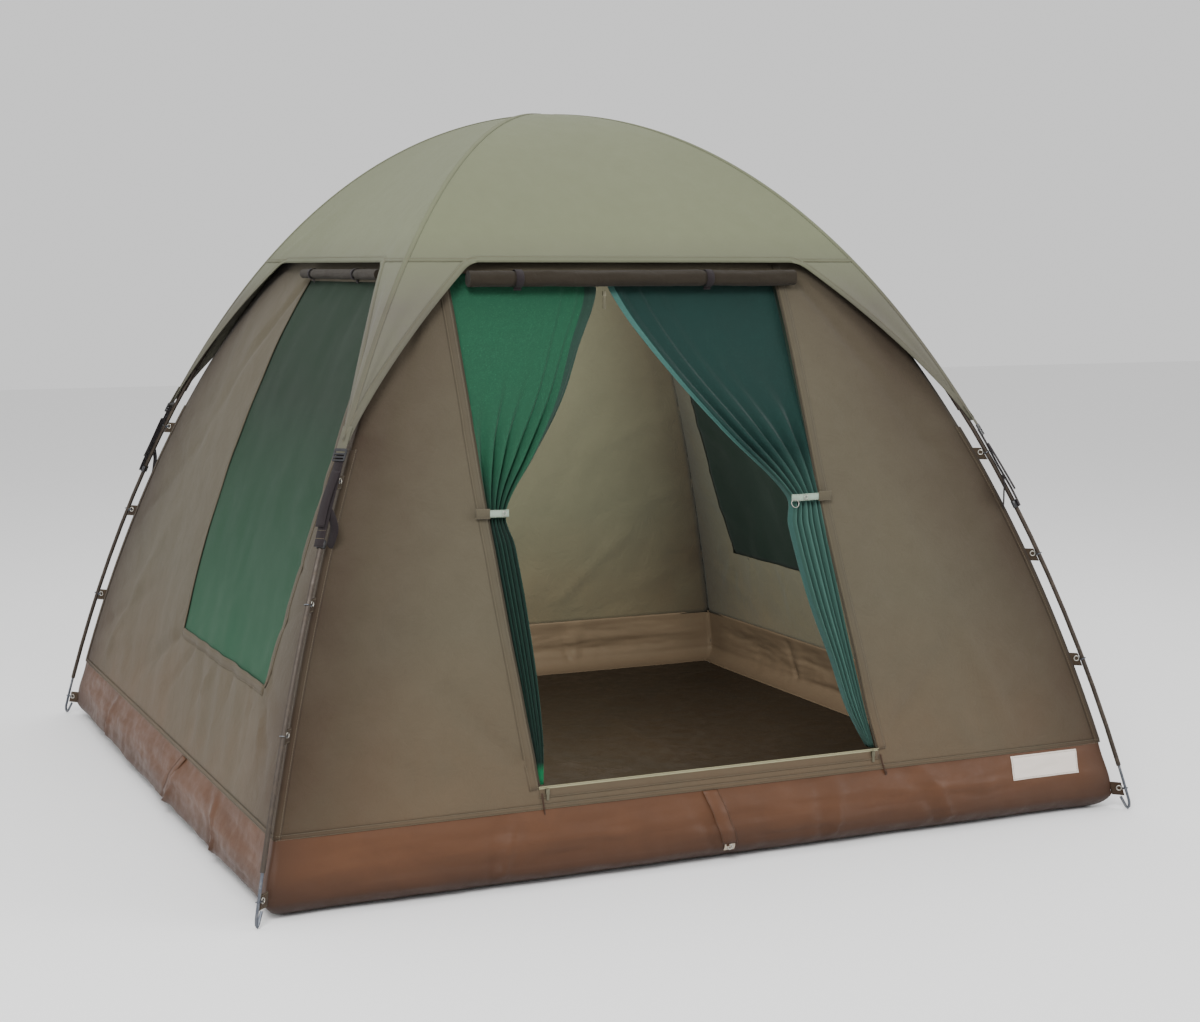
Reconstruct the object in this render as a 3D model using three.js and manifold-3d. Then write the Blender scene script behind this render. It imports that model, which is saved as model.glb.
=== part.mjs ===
// A canvas bow tent on a square floor: a bucket groundsheet, four leaning walls that run up into the
// roof, two bow poles met in a hub over the peak, and a partial flysheet strapped down at its corners.
// Millimetres, +Z up, the door faces -Y, and the origin is on the ground under the peak.
import * as THREE from "three";
import { mergeVertices } from "three/addons/utils/BufferGeometryUtils.js";
import Module from "manifold-3d";

const wasm = await Module();
wasm.setup();

// ---- driving dimensions ----
const GAP = 0.3; // clearance that touching pieces keep
const FLOOR_HALF = 1200;
const BUCKET_HEIGHT = 190;
const CLOTH = 3.5; // wall canvas, as a solid
const BUCKET_CLOTH = 4;

// The bow, seen square to a wall: half width against height, from the foot to the peak.
const BOW = [
  [1250, 0],
  [1050, 950],
  [620, 1945],
  [0, 1945],
];
const POLE_RADIUS = 6.35;
const WALL_OFFSET = -24; // wall face, measured square to the bow
const FLY_OFFSET = 11;
const FLY_CLOTH = 3;

const DOOR_TOP = 1515;
const SILL_TOP = 232;
const JAMB_LEFT = { top: -555, middle: -560, bottom: -512 };
const JAMB_RIGHT = { top: 425, middle: 407, bottom: 465 };

const FLY_LIP = 1520;
const LEG_TIP = 1080;
const LEG_ROOT_WIDTH = 185;
const LEG_TIP_WIDTH = 20;

const TAB_HEIGHTS = [60, 420, 710, 990];
const POLE_JOINT = 1150; // height of the sleeve between upper and lower pole
const PIN_SOCKET = 124; // height at which the pole ends on its corner pin
const PIN_RADIUS = 4;
// The pin's bend: where it leaves the pole's line, how hard it dips, how far back it comes up.
const PIN = { turnHeight: 24, dip: -13.5, back: 23, returnHeight: 36 };
const TIE_HEIGHT = 895;

// ---- finishes ----
const finish = (color, roughness, metalness = 0) => ({ color, roughness, metalness });
const CANVAS = finish(0x6f6754, 0.9);
const FLY_CANVAS = finish(0x969a84, 0.88);
const PVC = finish(0x6f5642, 0.55);
const FLOOR_PVC = finish(0x3c2c1c, 0.5);
const MESH = finish(0x45604c, 0.8);
const GREEN_MESH = finish(0x36604a, 0.75);
const TEAL_MESH = finish(0x29423e, 0.75);
const WEBBING = finish(0x241d20, 0.85);
const PALE_WEBBING = finish(0xc6d4c8, 0.8);
const STEEL = finish(0x5c5650, 0.4, 0.9);
const ZIP_METAL = finish(0x9a9a92, 0.35, 1);
const BLACK_PLASTIC = finish(0x17171a, 0.5);
const CORD = finish(0x3a2a20, 0.9);

// ---- solids ----
function toSolid(geometry) {
  const plain = geometry.clone();
  plain.deleteAttribute("normal");
  plain.deleteAttribute("uv");
  const merged = mergeVertices(plain, 1e-4);
  return new wasm.Manifold(
    new wasm.Mesh({
      numProp: 3,
      vertProperties: merged.attributes.position.array,
      triVerts: new Uint32Array(merged.index.array),
    }),
  );
}

function toGeometry(solid) {
  const mesh = solid.getMesh();
  const stride = mesh.numProp;
  const points = new Float32Array(mesh.numVert * 3);
  for (let i = 0; i < mesh.numVert; i++) {
    points.set(mesh.vertProperties.subarray(i * stride, i * stride + 3), i * 3);
  }
  const geometry = new THREE.BufferGeometry();
  geometry.setAttribute("position", new THREE.BufferAttribute(points, 3));
  geometry.setIndex(new THREE.BufferAttribute(mesh.triVerts, 1));
  return geometry;
}

const join = (...geometries) => toGeometry(geometries.map(toSolid).reduce((a, b) => a.add(b)));
const cut = (geometry, ...tools) =>
  toGeometry(tools.map(toSolid).reduce((a, b) => a.subtract(b), toSolid(geometry)));
const common = (a, b) => toGeometry(toSolid(a).intersect(toSolid(b)));

// Closed solid through rings of equal length; capTriangles lists the triangles that close one ring.
const QUAD_CAP = [
  [0, 1, 2],
  [0, 2, 3],
];
const ANGLE_CAP = [
  [0, 1, 4],
  [0, 4, 5],
  [1, 2, 3],
  [1, 3, 4],
];
function loft(rings, capTriangles = QUAD_CAP) {
  const count = rings[0].length;
  const points = rings.flat().flatMap((p) => [p.x, p.y, p.z]);
  const faces = [];
  for (let r = 0; r + 1 < rings.length; r++) {
    for (let i = 0; i < count; i++) {
      const a = r * count + i;
      const b = r * count + ((i + 1) % count);
      faces.push([a, b, b + count], [a, b + count, a + count]);
    }
  }
  const last = (rings.length - 1) * count;
  for (const [a, b, c] of capTriangles) {
    faces.push([c, b, a], [last + a, last + b, last + c]);
  }
  const geometry = new THREE.BufferGeometry();
  geometry.setAttribute("position", new THREE.Float32BufferAttribute(points, 3));
  geometry.setIndex(faces.flat());
  if (signedVolume(points, faces) < 0) geometry.setIndex(faces.flatMap(([a, b, c]) => [a, c, b]));
  return geometry;
}

function signedVolume(points, faces) {
  const at = (i) => new THREE.Vector3(points[3 * i], points[3 * i + 1], points[3 * i + 2]);
  return faces.reduce((sum, [a, b, c]) => sum + at(a).dot(at(b).cross(at(c))) / 6, 0);
}

// Round bar along a curve.
function bar(curve, radius, steps, sides = 8) {
  const outline = [];
  for (let i = 0; i < sides; i++) {
    const angle = (2 * Math.PI * i) / sides;
    outline.push(new THREE.Vector2(radius * Math.cos(angle), radius * Math.sin(angle)));
  }
  const section = new THREE.Shape(outline);
  return new THREE.ExtrudeGeometry(section, { steps, bevelEnabled: false, extrudePath: curve });
}

// ---- the bow and the tent skin ----
// A point on the bow, moved square to it by offset: h is half width, z is height.
function bowPoint(t, offset = 0) {
  const s = 1 - t;
  const weight = [s * s * s, 3 * s * s * t, 3 * s * t * t, t * t * t];
  const slope = [-3 * s * s, 3 * s * (s - 2 * t), 3 * t * (2 * s - t), 3 * t * t];
  const sum = (w, axis) => w.reduce((total, value, i) => total + value * BOW[i][axis], 0);
  const [dh, dz] = [sum(slope, 0), sum(slope, 1)];
  const length = Math.hypot(dh, dz);
  return {
    h: sum(weight, 0) + (offset * dz) / length,
    z: sum(weight, 1) - (offset * dh) / length,
    normal: [dz / length, -dh / length],
  };
}

// The bow parameter at which the offset curve is at height z.
function bowAt(z, offset = 0) {
  let [low, high] = [0, 1];
  for (let i = 0; i < 40; i++) {
    const middle = (low + high) / 2;
    if (bowPoint(middle, offset).z < z) low = middle;
    else high = middle;
  }
  return (low + high) / 2;
}

const halfAt = (z, offset = 0) => bowPoint(bowAt(z, offset), offset).h;

// Half width of the tent's outer face at height z: the bucket below its seam, the wall above it.
function skinHalf(z, outward = 0) {
  const seam = halfAt(BUCKET_HEIGHT, WALL_OFFSET);
  if (z >= BUCKET_HEIGHT) return halfAt(z, WALL_OFFSET + outward);
  return THREE.MathUtils.lerp(FLOOR_HALF, seam, z / BUCKET_HEIGHT) + outward;
}

const spread = (from, to, count) =>
  Array.from({ length: count + 1 }, (_, i) => THREE.MathUtils.lerp(from, to, i / count));

// A cloth panel on the front face between two heights. edges(h, z) gives its left and right ends.
function bowPanel(fromZ, toZ, count, offset, thickness, edges) {
  const first = bowAt(fromZ, offset);
  const last = toZ === null ? bowParameterNearPeak(offset) : bowAt(toZ, offset);
  return loft(
    spread(first, last, count).map((t) => {
      const outer = bowPoint(t, offset);
      const inner = bowPoint(t, offset - thickness);
      const [outerLeft, outerRight] = edges(outer.h, outer.z);
      const [innerLeft, innerRight] = edges(inner.h, inner.z);
      return [
        new THREE.Vector3(outerLeft, -outer.h, outer.z),
        new THREE.Vector3(outerRight, -outer.h, outer.z),
        new THREE.Vector3(innerRight, -inner.h, inner.z),
        new THREE.Vector3(innerLeft, -inner.h, inner.z),
      ];
    }),
  );
}

// The last ring of a gore stops short of the peak, where it would shrink to nothing.
function bowParameterNearPeak(offset) {
  const PEAK_HALF = 2;
  let [low, high] = [0.5, 1];
  for (let i = 0; i < 40; i++) {
    const middle = (low + high) / 2;
    if (bowPoint(middle, offset).h > PEAK_HALF) low = middle;
    else high = middle;
  }
  return low;
}

const mitred = (h) => [-(h - GAP), h - GAP];

// A prism square to the front face, through everything there, from an outline of [across, height].
function throughFront(outline) {
  const shape = new THREE.Shape(outline.map(([across, height]) => new THREE.Vector2(across, height)));
  const depth = 1000;
  return new THREE.ExtrudeGeometry(shape, { depth, bevelEnabled: false })
    .rotateX(Math.PI / 2)
    .translate(0, -350, 0);
}

// ---- placing ----
const tent = new THREE.Group();
const SIDES = { front: 0, right: 1, back: 2, left: 3 }; // quarter turns from the front
const CORNERS = { front_right: 0, back_right: 1, back_left: 2, front_left: 3 };

function place(name, geometry, look, quarterTurns = 0) {
  const mesh = new THREE.Mesh(geometry, new THREE.MeshStandardMaterial(look));
  mesh.name = name;
  mesh.rotation.z = (quarterTurns * Math.PI) / 2;
  tent.add(mesh);
}

// ---- floor ----
function groundsheet() {
  const side = 2 * (FLOOR_HALF - BUCKET_CLOTH - 1);
  return new THREE.BoxGeometry(side, side, BUCKET_CLOTH).translate(0, 0, BUCKET_CLOTH / 2);
}

function bucketSkirt() {
  return loft(
    [0, BUCKET_HEIGHT].map((z) => {
      const outer = z ? halfAt(z, WALL_OFFSET) : FLOOR_HALF;
      const inner = outer - BUCKET_CLOTH;
      return [
        new THREE.Vector3(-(outer - GAP), -outer, z),
        new THREE.Vector3(outer - GAP, -outer, z),
        new THREE.Vector3(inner - GAP, -inner, z),
        new THREE.Vector3(-(inner - GAP), -inner, z),
      ];
    }),
  );
}

place("groundsheet", groundsheet(), FLOOR_PVC);
for (const [side, turns] of Object.entries(SIDES)) {
  place(`bucket_${side}`, bucketSkirt(), PVC, turns);
}

// ---- walls and roof of the inner tent ----
const WALL_FOOT = BUCKET_HEIGHT + 2;

// A jamb's place at height z, on a curve through its bottom, middle and top.
function jamb(side, z) {
  const u = THREE.MathUtils.clamp((z - SILL_TOP) / (DOOR_TOP - SILL_TOP), 0, 1);
  const bend = 4 * u * (1 - u);
  const straight = THREE.MathUtils.lerp(side.bottom, side.top, u);
  return straight + bend * (side.middle - (side.bottom + side.top) / 2);
}

// The window sits to the right of its wall's middle, with its right edge along the corner seam.
function windowOutline(inset) {
  const [bottom, top] = [475 + inset, 1470 - inset];
  return [
    [-60 + inset, bottom],
    [832 - inset, bottom],
    [830 - inset, 700],
    [775 - inset, 1020],
    [675 - inset, 1270],
    [545 - inset, top],
    [-225 + inset, top],
  ];
}

function plainWall() {
  return bowPanel(WALL_FOOT, null, 12, WALL_OFFSET, CLOTH, mitred);
}

function windowMesh(outline) {
  const net = bowPanel(WALL_FOOT, DOOR_TOP, 10, WALL_OFFSET - 1, 1.5, mitred);
  return common(net, throughFront(outline));
}

place("back_wall", plainWall(), CANVAS, SIDES.back);
place("left_wall", cut(plainWall(), throughFront(windowOutline(0))), CANVAS, SIDES.left);
place("right_wall", cut(plainWall(), throughFront(windowOutline(0))), CANVAS, SIDES.right);
place("window_mesh_left", windowMesh(windowOutline(GAP)), MESH, SIDES.left);
place("window_mesh_right", windowMesh(windowOutline(GAP)), MESH, SIDES.right);

const besideLeftJamb = (h, z) => [-(h - GAP), jamb(JAMB_LEFT, z)];
const besideRightJamb = (h, z) => [jamb(JAMB_RIGHT, z), h - GAP];
const SEAM_GAP = 5;
const betweenJambs = (h, z) => [jamb(JAMB_LEFT, z) + SEAM_GAP, jamb(JAMB_RIGHT, z) - SEAM_GAP];
place("front_wall_left", bowPanel(WALL_FOOT, DOOR_TOP, 10, WALL_OFFSET, CLOTH, besideLeftJamb), CANVAS);
place("front_wall_right", bowPanel(WALL_FOOT, DOOR_TOP, 10, WALL_OFFSET, CLOTH, besideRightJamb), CANVAS);
place("door_sill_band", bowPanel(WALL_FOOT, SILL_TOP, 1, WALL_OFFSET, CLOTH, betweenJambs), CANVAS);
place("front_roof", bowPanel(DOOR_TOP + 4, null, 7, WALL_OFFSET, CLOTH, mitred), CANVAS);

// ---- rolled flaps ----
// A roll of cloth lying along the front face, its centre outward of the wall.
function roll(z, outward, radius, from, to) {
  const { h } = bowPoint(bowAt(z, WALL_OFFSET + outward), WALL_OFFSET + outward);
  const line = new THREE.LineCurve3(new THREE.Vector3(from, -h, z), new THREE.Vector3(to, -h, z));
  return bar(line, radius, 1, 12);
}

const DOOR_ROLL = { z: 1477, outward: 26.5, radius: 25, from: -507, to: 465 };
const WINDOW_ROLL = { z: 1487, outward: 18, radius: 16 };
place(
  "door_roll",
  roll(DOOR_ROLL.z, DOOR_ROLL.outward, DOOR_ROLL.radius, DOOR_ROLL.from, DOOR_ROLL.to),
  CANVAS,
);
place(
  "window_roll_left",
  roll(WINDOW_ROLL.z, WINDOW_ROLL.outward, WINDOW_ROLL.radius, -235, 470),
  CANVAS,
  SIDES.left,
);
place(
  "window_roll_right",
  roll(WINDOW_ROLL.z, WINDOW_ROLL.outward, WINDOW_ROLL.radius, -235, 470),
  CANVAS,
  SIDES.right,
);

// ---- door curtains ----
// Each row: height, inner edge, thickness. The outer edge follows the jamb.
const CURTAIN_SETBACK = 9;
const LEFT_CURTAIN = [
  [238, -492, 26],
  [358, -478, 34],
  [616, -480, 40],
  [810, -490, 40],
  [TIE_HEIGHT, -503, 36],
  [1037, -390, 24],
  [1165, -296, 16],
  [1303, -217, 11],
  [1433, -135, 9],
  [1500, -124, 9],
];
const RIGHT_CURTAIN = [
  [238, 446, 26],
  [339, 402, 32],
  [462, 374, 36],
  [626, 336, 40],
  [818, 312, 40],
  [TIE_HEIGHT, 318, 36],
  [1064, 163, 24],
  [1208, 44, 14],
  [1350, -50, 10],
  [1440, -90, 9],
  [1500, -101, 9],
];

function curtain(rows, side, towardJamb) {
  const offset = WALL_OFFSET - CURTAIN_SETBACK;
  return loft(
    rows.map(([z, innerEdge, thickness]) => {
      const outer = bowPoint(bowAt(z, offset), offset);
      const inner = bowPoint(bowAt(z, offset - thickness), offset - thickness);
      const jambEdge = jamb(side, z) - 2 * towardJamb;
      return [
        new THREE.Vector3(jambEdge, -outer.h, z),
        new THREE.Vector3(innerEdge, -outer.h, z),
        new THREE.Vector3(innerEdge, -inner.h, z),
        new THREE.Vector3(jambEdge, -inner.h, z),
      ];
    }),
  );
}

place("door_curtain_left", curtain(LEFT_CURTAIN, JAMB_LEFT, -1), GREEN_MESH);
place("door_curtain_right", curtain(RIGHT_CURTAIN, JAMB_RIGHT, 1), TEAL_MESH);

// Tie-backs: flat straps over the outside of the gathered curtains, sewn to the wall at one end.
const TIE = { height: 26, thickness: 2.5, standOff: 1.5 };
function tieBack(fixedEnd, freeEnd) {
  const face = skinHalf(TIE_HEIGHT - TIE.height / 2) + TIE.standOff;
  const [width, middle] = [Math.abs(freeEnd - fixedEnd), (fixedEnd + freeEnd) / 2];
  return new THREE.BoxGeometry(width, TIE.thickness, TIE.height).translate(
    middle,
    -(face + TIE.thickness / 2),
    TIE_HEIGHT,
  );
}
place("tie_back_left", tieBack(-595, -498), PALE_WEBBING);
place("tie_back_right", tieBack(430, 306), PALE_WEBBING);

// ---- zips ----
// The curtains' centre zip: its slider is parked at the top of the door, with the pull hanging.
const PARKED = { x: -113, z: 1436, outward: -4 };
function curtainSlider() {
  const { h } = bowPoint(bowAt(PARKED.z, WALL_OFFSET + PARKED.outward), WALL_OFFSET + PARKED.outward);
  return new THREE.BoxGeometry(9, 5, 13).translate(PARKED.x, -h, PARKED.z);
}
function curtainPull() {
  const { h } = bowPoint(bowAt(PARKED.z, WALL_OFFSET + PARKED.outward), WALL_OFFSET + PARKED.outward);
  const outline = new THREE.Shape();
  outline.moveTo(-3, 0);
  outline.lineTo(3, 0);
  outline.lineTo(4.5, -30);
  outline.absarc(0, -30, 4.5, 0, -Math.PI, true);
  outline.lineTo(-3, 0);
  const plate = new THREE.ExtrudeGeometry(outline, { depth: 1.6, bevelEnabled: false, curveSegments: 6 });
  return plate.rotateX(Math.PI / 2).translate(PARKED.x, -h, PARKED.z - 8);
}
place("curtain_zip_slider", curtainSlider(), ZIP_METAL);
place("curtain_zip_pull", curtainPull(), ZIP_METAL);

// The sill zip's two sliders, each with its pull lying down in front of the band.
const SILL_SLIDER = { z: 226, height: 14, width: 10, fromJamb: 20, pullFoot: 204, pullWidth: 7 };
function sillSlider(x) {
  const { z, height, width, pullFoot, pullWidth } = SILL_SLIDER;
  const back = skinHalf(z - height / 2) + 0.5;
  const pullBack = skinHalf(pullFoot) + 0.8;
  const front = pullBack + 1.6;
  const body = new THREE.BoxGeometry(width, front - back, height).translate(x, -(front + back) / 2, z);
  const pull = new THREE.BoxGeometry(pullWidth, front - pullBack, z - pullFoot);
  return join(body, pull.translate(x, -(front + pullBack) / 2, (z + pullFoot) / 2));
}
place("sill_zip_slider_left", sillSlider(JAMB_LEFT.bottom + SILL_SLIDER.fromJamb), ZIP_METAL);
place("sill_zip_slider_right", sillSlider(JAMB_RIGHT.bottom - SILL_SLIDER.fromJamb), ZIP_METAL);

// ---- door foot cords ----
// Each leaves the foot of a jamb and lies down the bucket's face: [across, height] along its route.
const CORD_RADIUS = 2;
const CORD_STAND_OFF = 2 * CORD_RADIUS;
const LEFT_CORD = [
  [-507, 222],
  [-506, 205],
  [-504, 180],
  [-503, 150],
  [-506, 120],
  [-514, 92],
  [-526, 66],
  [-538, 45],
];
const RIGHT_CORD = [
  [468, 222],
  [470, 205],
  [474, 188],
  [480, 168],
];
function cord(route) {
  const points = route.map(([x, z]) => new THREE.Vector3(x, -(skinHalf(z) + CORD_STAND_OFF), z));
  const steps = Math.round((route[0][1] - route.at(-1)[1]) / (6 * CORD_RADIUS));
  return bar(new THREE.CatmullRomCurve3(points), CORD_RADIUS, steps);
}
place("door_cord_left", cord(LEFT_CORD), CORD);
place("door_cord_right", cord(RIGHT_CORD), CORD);

// ---- flysheet ----
function flyPanel() {
  return bowPanel(FLY_LIP, null, 10, FLY_OFFSET + FLY_CLOTH, FLY_CLOTH, mitred);
}

// A strip folded round the front right corner, with a wing of the given width on each face.
function cornerAngle(levels) {
  return loft(
    levels.map(({ outer, inner, width }) => [
      new THREE.Vector3(outer.h - width, -outer.h, outer.z),
      new THREE.Vector3(outer.h, -outer.h, outer.z),
      new THREE.Vector3(outer.h, -(outer.h - width), outer.z),
      new THREE.Vector3(inner.h, -(outer.h - width), inner.z),
      new THREE.Vector3(inner.h, -inner.h, inner.z),
      new THREE.Vector3(outer.h - width, -inner.h, inner.z),
    ]),
    ANGLE_CAP,
  );
}

function legWidth(z) {
  const rise = THREE.MathUtils.clamp((z - LEG_TIP) / (FLY_LIP - LEG_TIP), 0, 1);
  return LEG_TIP_WIDTH + (LEG_ROOT_WIDTH - LEG_TIP_WIDTH) * rise ** 1.3;
}

function flyLeg() {
  const outside = FLY_OFFSET + FLY_CLOTH;
  const [first, last] = [bowAt(LEG_TIP, outside), bowAt(FLY_LIP - 3, outside)];
  return cornerAngle(
    spread(first, last, 8).map((t) => {
      const outer = bowPoint(t, outside);
      return { outer, inner: bowPoint(t, FLY_OFFSET), width: legWidth(outer.z) };
    }),
  );
}

for (const [side, turns] of Object.entries(SIDES)) {
  place(`fly_${side}_panel`, flyPanel(), FLY_CANVAS, turns);
}
for (const [corner, turns] of Object.entries(CORNERS)) {
  place(`fly_leg_${corner}`, flyLeg(), FLY_CANVAS, turns);
}

// ---- frame ----
const DIAGONAL = new THREE.Vector3(Math.SQRT1_2, -Math.SQRT1_2, 0); // towards the front right corner
const ALONG = new THREE.Vector3(Math.SQRT1_2, Math.SQRT1_2, 0); // level, square to the diagonal

// A place on the front right bow: bow parameter t, moved outward square to the bow in its own plane.
function onDiagonal(t, outward = 0) {
  const { h, z, normal } = bowPoint(t);
  const lean = new THREE.Vector2(normal[0], normal[1] * Math.SQRT2).normalize();
  return DIAGONAL.clone()
    .multiplyScalar(h * Math.SQRT2 + outward * lean.x)
    .setZ(z + outward * lean.y);
}

class BowCurve extends THREE.Curve {
  constructor(fromT, toT, outward = 0) {
    super();
    Object.assign(this, { fromT, toT, outward });
  }
  getPoint(u, target = new THREE.Vector3()) {
    return target.copy(onDiagonal(THREE.MathUtils.lerp(this.fromT, this.toT, u), this.outward));
  }
}

const bowBar = (fromT, toT, radius, steps, sides) => bar(new BowCurve(fromT, toT), radius, steps, sides);

const HUB = { radius: 30, height: 16, arm: 62, socket: 9 };
const HUB_BORE_END = 0.986; // bow parameter at which the pole stops inside its socket
const BORE_RADIUS = POLE_RADIUS + 1.2; // the pole's facets stand a little off its curve

function hub() {
  const peak = BOW[3][1];
  const core = new THREE.CylinderGeometry(HUB.radius, HUB.radius, HUB.height, 24)
    .rotateX(Math.PI / 2)
    .translate(0, 0, peak);
  const arms = Object.values(CORNERS).map((turns) =>
    new THREE.CylinderGeometry(HUB.socket, HUB.socket, HUB.arm, 16)
      .translate(0, HUB.arm / 2, 0)
      .rotateZ((-3 * Math.PI) / 4 + (turns * Math.PI) / 2)
      .translate(0, 0, peak - 2),
  );
  const bores = Object.values(CORNERS).map((turns) =>
    bowBar(0.93, HUB_BORE_END + 0.004, BORE_RADIUS, 5, 12).rotateZ((turns * Math.PI) / 2),
  );
  return cut(join(core, ...arms), ...bores);
}

const atJoint = bowAt(POLE_JOINT);
function upperPole() {
  const shaft = bowBar(atJoint, HUB_BORE_END, POLE_RADIUS, 14);
  const sleeve = bowBar(bowAt(POLE_JOINT - 40), bowAt(POLE_JOINT + 30), BORE_RADIUS + 1.9, 2, 12);
  const socket = bowBar(bowAt(POLE_JOINT - 60), atJoint, BORE_RADIUS, 2, 12);
  return cut(join(shaft, sleeve), socket);
}

function lowerPole() {
  const shaft = bowBar(bowAt(PIN_SOCKET), bowAt(POLE_JOINT - 2), POLE_RADIUS, 10);
  const bore = bowBar(bowAt(PIN_SOCKET - 20), bowAt(PIN_SOCKET + 42), PIN_RADIUS + GAP, 2, 12);
  return cut(shaft, bore);
}

// The corner pin hangs from the pole's foot, turns sharply on the ground and runs back up to the tab.
function cornerPin() {
  const along = (distance, z) => DIAGONAL.clone().multiplyScalar(distance).setZ(z);
  const foot = BOW[0][0] * Math.SQRT2;
  const { turnHeight, dip, back, returnHeight } = PIN;
  const start = onDiagonal(bowAt(turnHeight));
  const heel = along(foot - back, turnHeight - 2);
  const path = new THREE.CurvePath();
  path.add(new BowCurve(bowAt(PIN_SOCKET + 38), bowAt(turnHeight)));
  path.add(new THREE.QuadraticBezierCurve3(start, along(foot - 4, dip), heel));
  path.add(new THREE.LineCurve3(heel, along(foot - back - 8, returnHeight)));
  return bar(new THREE.CatmullRomCurve3(path.getSpacedPoints(32)), PIN_RADIUS, 32);
}

place("hub", hub(), BLACK_PLASTIC);
for (const [corner, turns] of Object.entries(CORNERS)) {
  place(`pole_upper_${corner}`, upperPole(), STEEL, turns);
  place(`pole_lower_${corner}`, lowerPole(), STEEL, turns);
  place(`corner_pin_${corner}`, cornerPin(), STEEL, turns);
}

// ---- corner tapes ----
// A tape over each corner seam, with tabs that reach out to clips round the pole.
const TAPE = { width: 16, thickness: 1.5, standOff: 1.5, foot: 12, top: 1060 };
const TAB = { height: 36, thickness: 3, eyelet: 4.5, clipLength: 10, clipWall: 2 };

// A blade in the corner's upright plane, from the tape out to the middle of the pole.
function tabBlade(z) {
  const half = TAB.thickness / 2;
  const blade = loft(
    [z - TAB.height / 2, z, z + TAB.height / 2].map((level) => {
      const root = (skinHalf(level) + TAPE.standOff) * Math.SQRT2;
      const tip = halfAt(level) * Math.SQRT2;
      return [
        new THREE.Vector3(root, -half, level),
        new THREE.Vector3(tip, -half, level),
        new THREE.Vector3(tip, half, level),
        new THREE.Vector3(root, half, level),
      ];
    }),
  );
  const eyeletAt = skinHalf(z) * Math.SQRT2 + TAPE.standOff + 3 * TAB.eyelet;
  const hole = new THREE.CylinderGeometry(TAB.eyelet, TAB.eyelet, 4 * TAB.thickness, 8);
  return cut(blade, hole.translate(eyeletAt, 0, z)).rotateZ(-Math.PI / 4);
}

function cornerTape() {
  const { foot, top, width, thickness, standOff } = TAPE;
  const strip = cornerAngle(
    [foot, ...spread(BUCKET_HEIGHT, top, 7)].map((z) => ({
      outer: { h: skinHalf(z, standOff + thickness), z },
      inner: { h: skinHalf(z, standOff), z },
      width,
    })),
  );
  const around = (z, length, radius) =>
    bowBar(bowAt(z - length / 2), bowAt(z + length / 2), radius, 1, 8);
  const held = (z) => (z < PIN_SOCKET ? PIN_RADIUS : POLE_RADIUS) + 1;
  const clips = TAB_HEIGHTS.map((z) => around(z, TAB.clipLength, held(z) + TAB.clipWall));
  const bores = TAB_HEIGHTS.map((z) => around(z, 3 * TAB.height, held(z)));
  return cut(join(strip, ...TAB_HEIGHTS.map(tabBlade), ...clips), ...bores);
}

// ---- corner straps and buckles ----
const STRAP = { width: 25, thickness: 2, top: 1018, bottom: 868, outward: 11 };
const HOOK = { top: 858, bottom: 836 };
const BUCKLE = { width: 36, height: 34, thickness: 4, top: 1056, outward: 16 };

// A matrix at bow parameter t on the front right bow: X level, Y up the bow, Z outward.
function diagonalFrame(t, outward) {
  const origin = onDiagonal(t, outward);
  const out = onDiagonal(t, outward + 1).sub(origin).normalize();
  const up = out.clone().cross(ALONG).normalize();
  return new THREE.Matrix4().makeBasis(ALONG, up, out).setPosition(origin);
}

function strap() {
  const edge = (t, outward, side) => onDiagonal(t, outward).addScaledVector(ALONG, side * (STRAP.width / 2));
  const band = loft(
    spread(bowAt(STRAP.bottom - 30), bowAt(STRAP.top), 6).map((t) => [
      edge(t, STRAP.outward, -1),
      edge(t, STRAP.outward, 1),
      edge(t, STRAP.outward + STRAP.thickness, 1),
      edge(t, STRAP.outward + STRAP.thickness, -1),
    ]),
  );
  const clasp = bowBar(bowAt(HOOK.bottom), bowAt(HOOK.top), STRAP.outward + 1, 1, 10);
  const bore = bowBar(bowAt(HOOK.bottom - 20), bowAt(HOOK.top + 20), BORE_RADIUS, 1, 10);
  return cut(join(band, clasp), bore);
}

function ladderLock() {
  const { width, height, thickness, top, outward } = BUCKLE;
  const [halfWidth, corner, aboveBar] = [width / 2, 4, 4];
  const outline = new THREE.Shape();
  outline.moveTo(-halfWidth + corner, aboveBar);
  outline.lineTo(halfWidth - corner, aboveBar);
  outline.lineTo(halfWidth, aboveBar - corner);
  outline.lineTo(halfWidth - 2, aboveBar - height);
  outline.lineTo(-halfWidth + 2, aboveBar - height);
  outline.lineTo(-halfWidth, aboveBar - corner);
  const plate = new THREE.ExtrudeGeometry(outline, { depth: thickness, bevelEnabled: false });
  const slots = [-6, -15, -24].map((y) =>
    new THREE.BoxGeometry(width - 10, 4.5, 3 * thickness).translate(0, y, thickness / 2),
  );
  return cut(plate, ...slots)
    .translate(0, 0, -thickness / 2)
    .applyMatrix4(diagonalFrame(bowAt(top), outward));
}

for (const [corner, turns] of Object.entries(CORNERS)) {
  place(`corner_tape_${corner}`, cornerTape(), CANVAS, turns);
  place(`fly_strap_${corner}`, strap(), WEBBING, turns);
  place(`fly_buckle_${corner}`, ladderLock(), BLACK_PLASTIC, turns);
}

export default tent;
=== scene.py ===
import bisect
import math

import bmesh
import bpy
from mathutils import Matrix, Vector, noise


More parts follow.
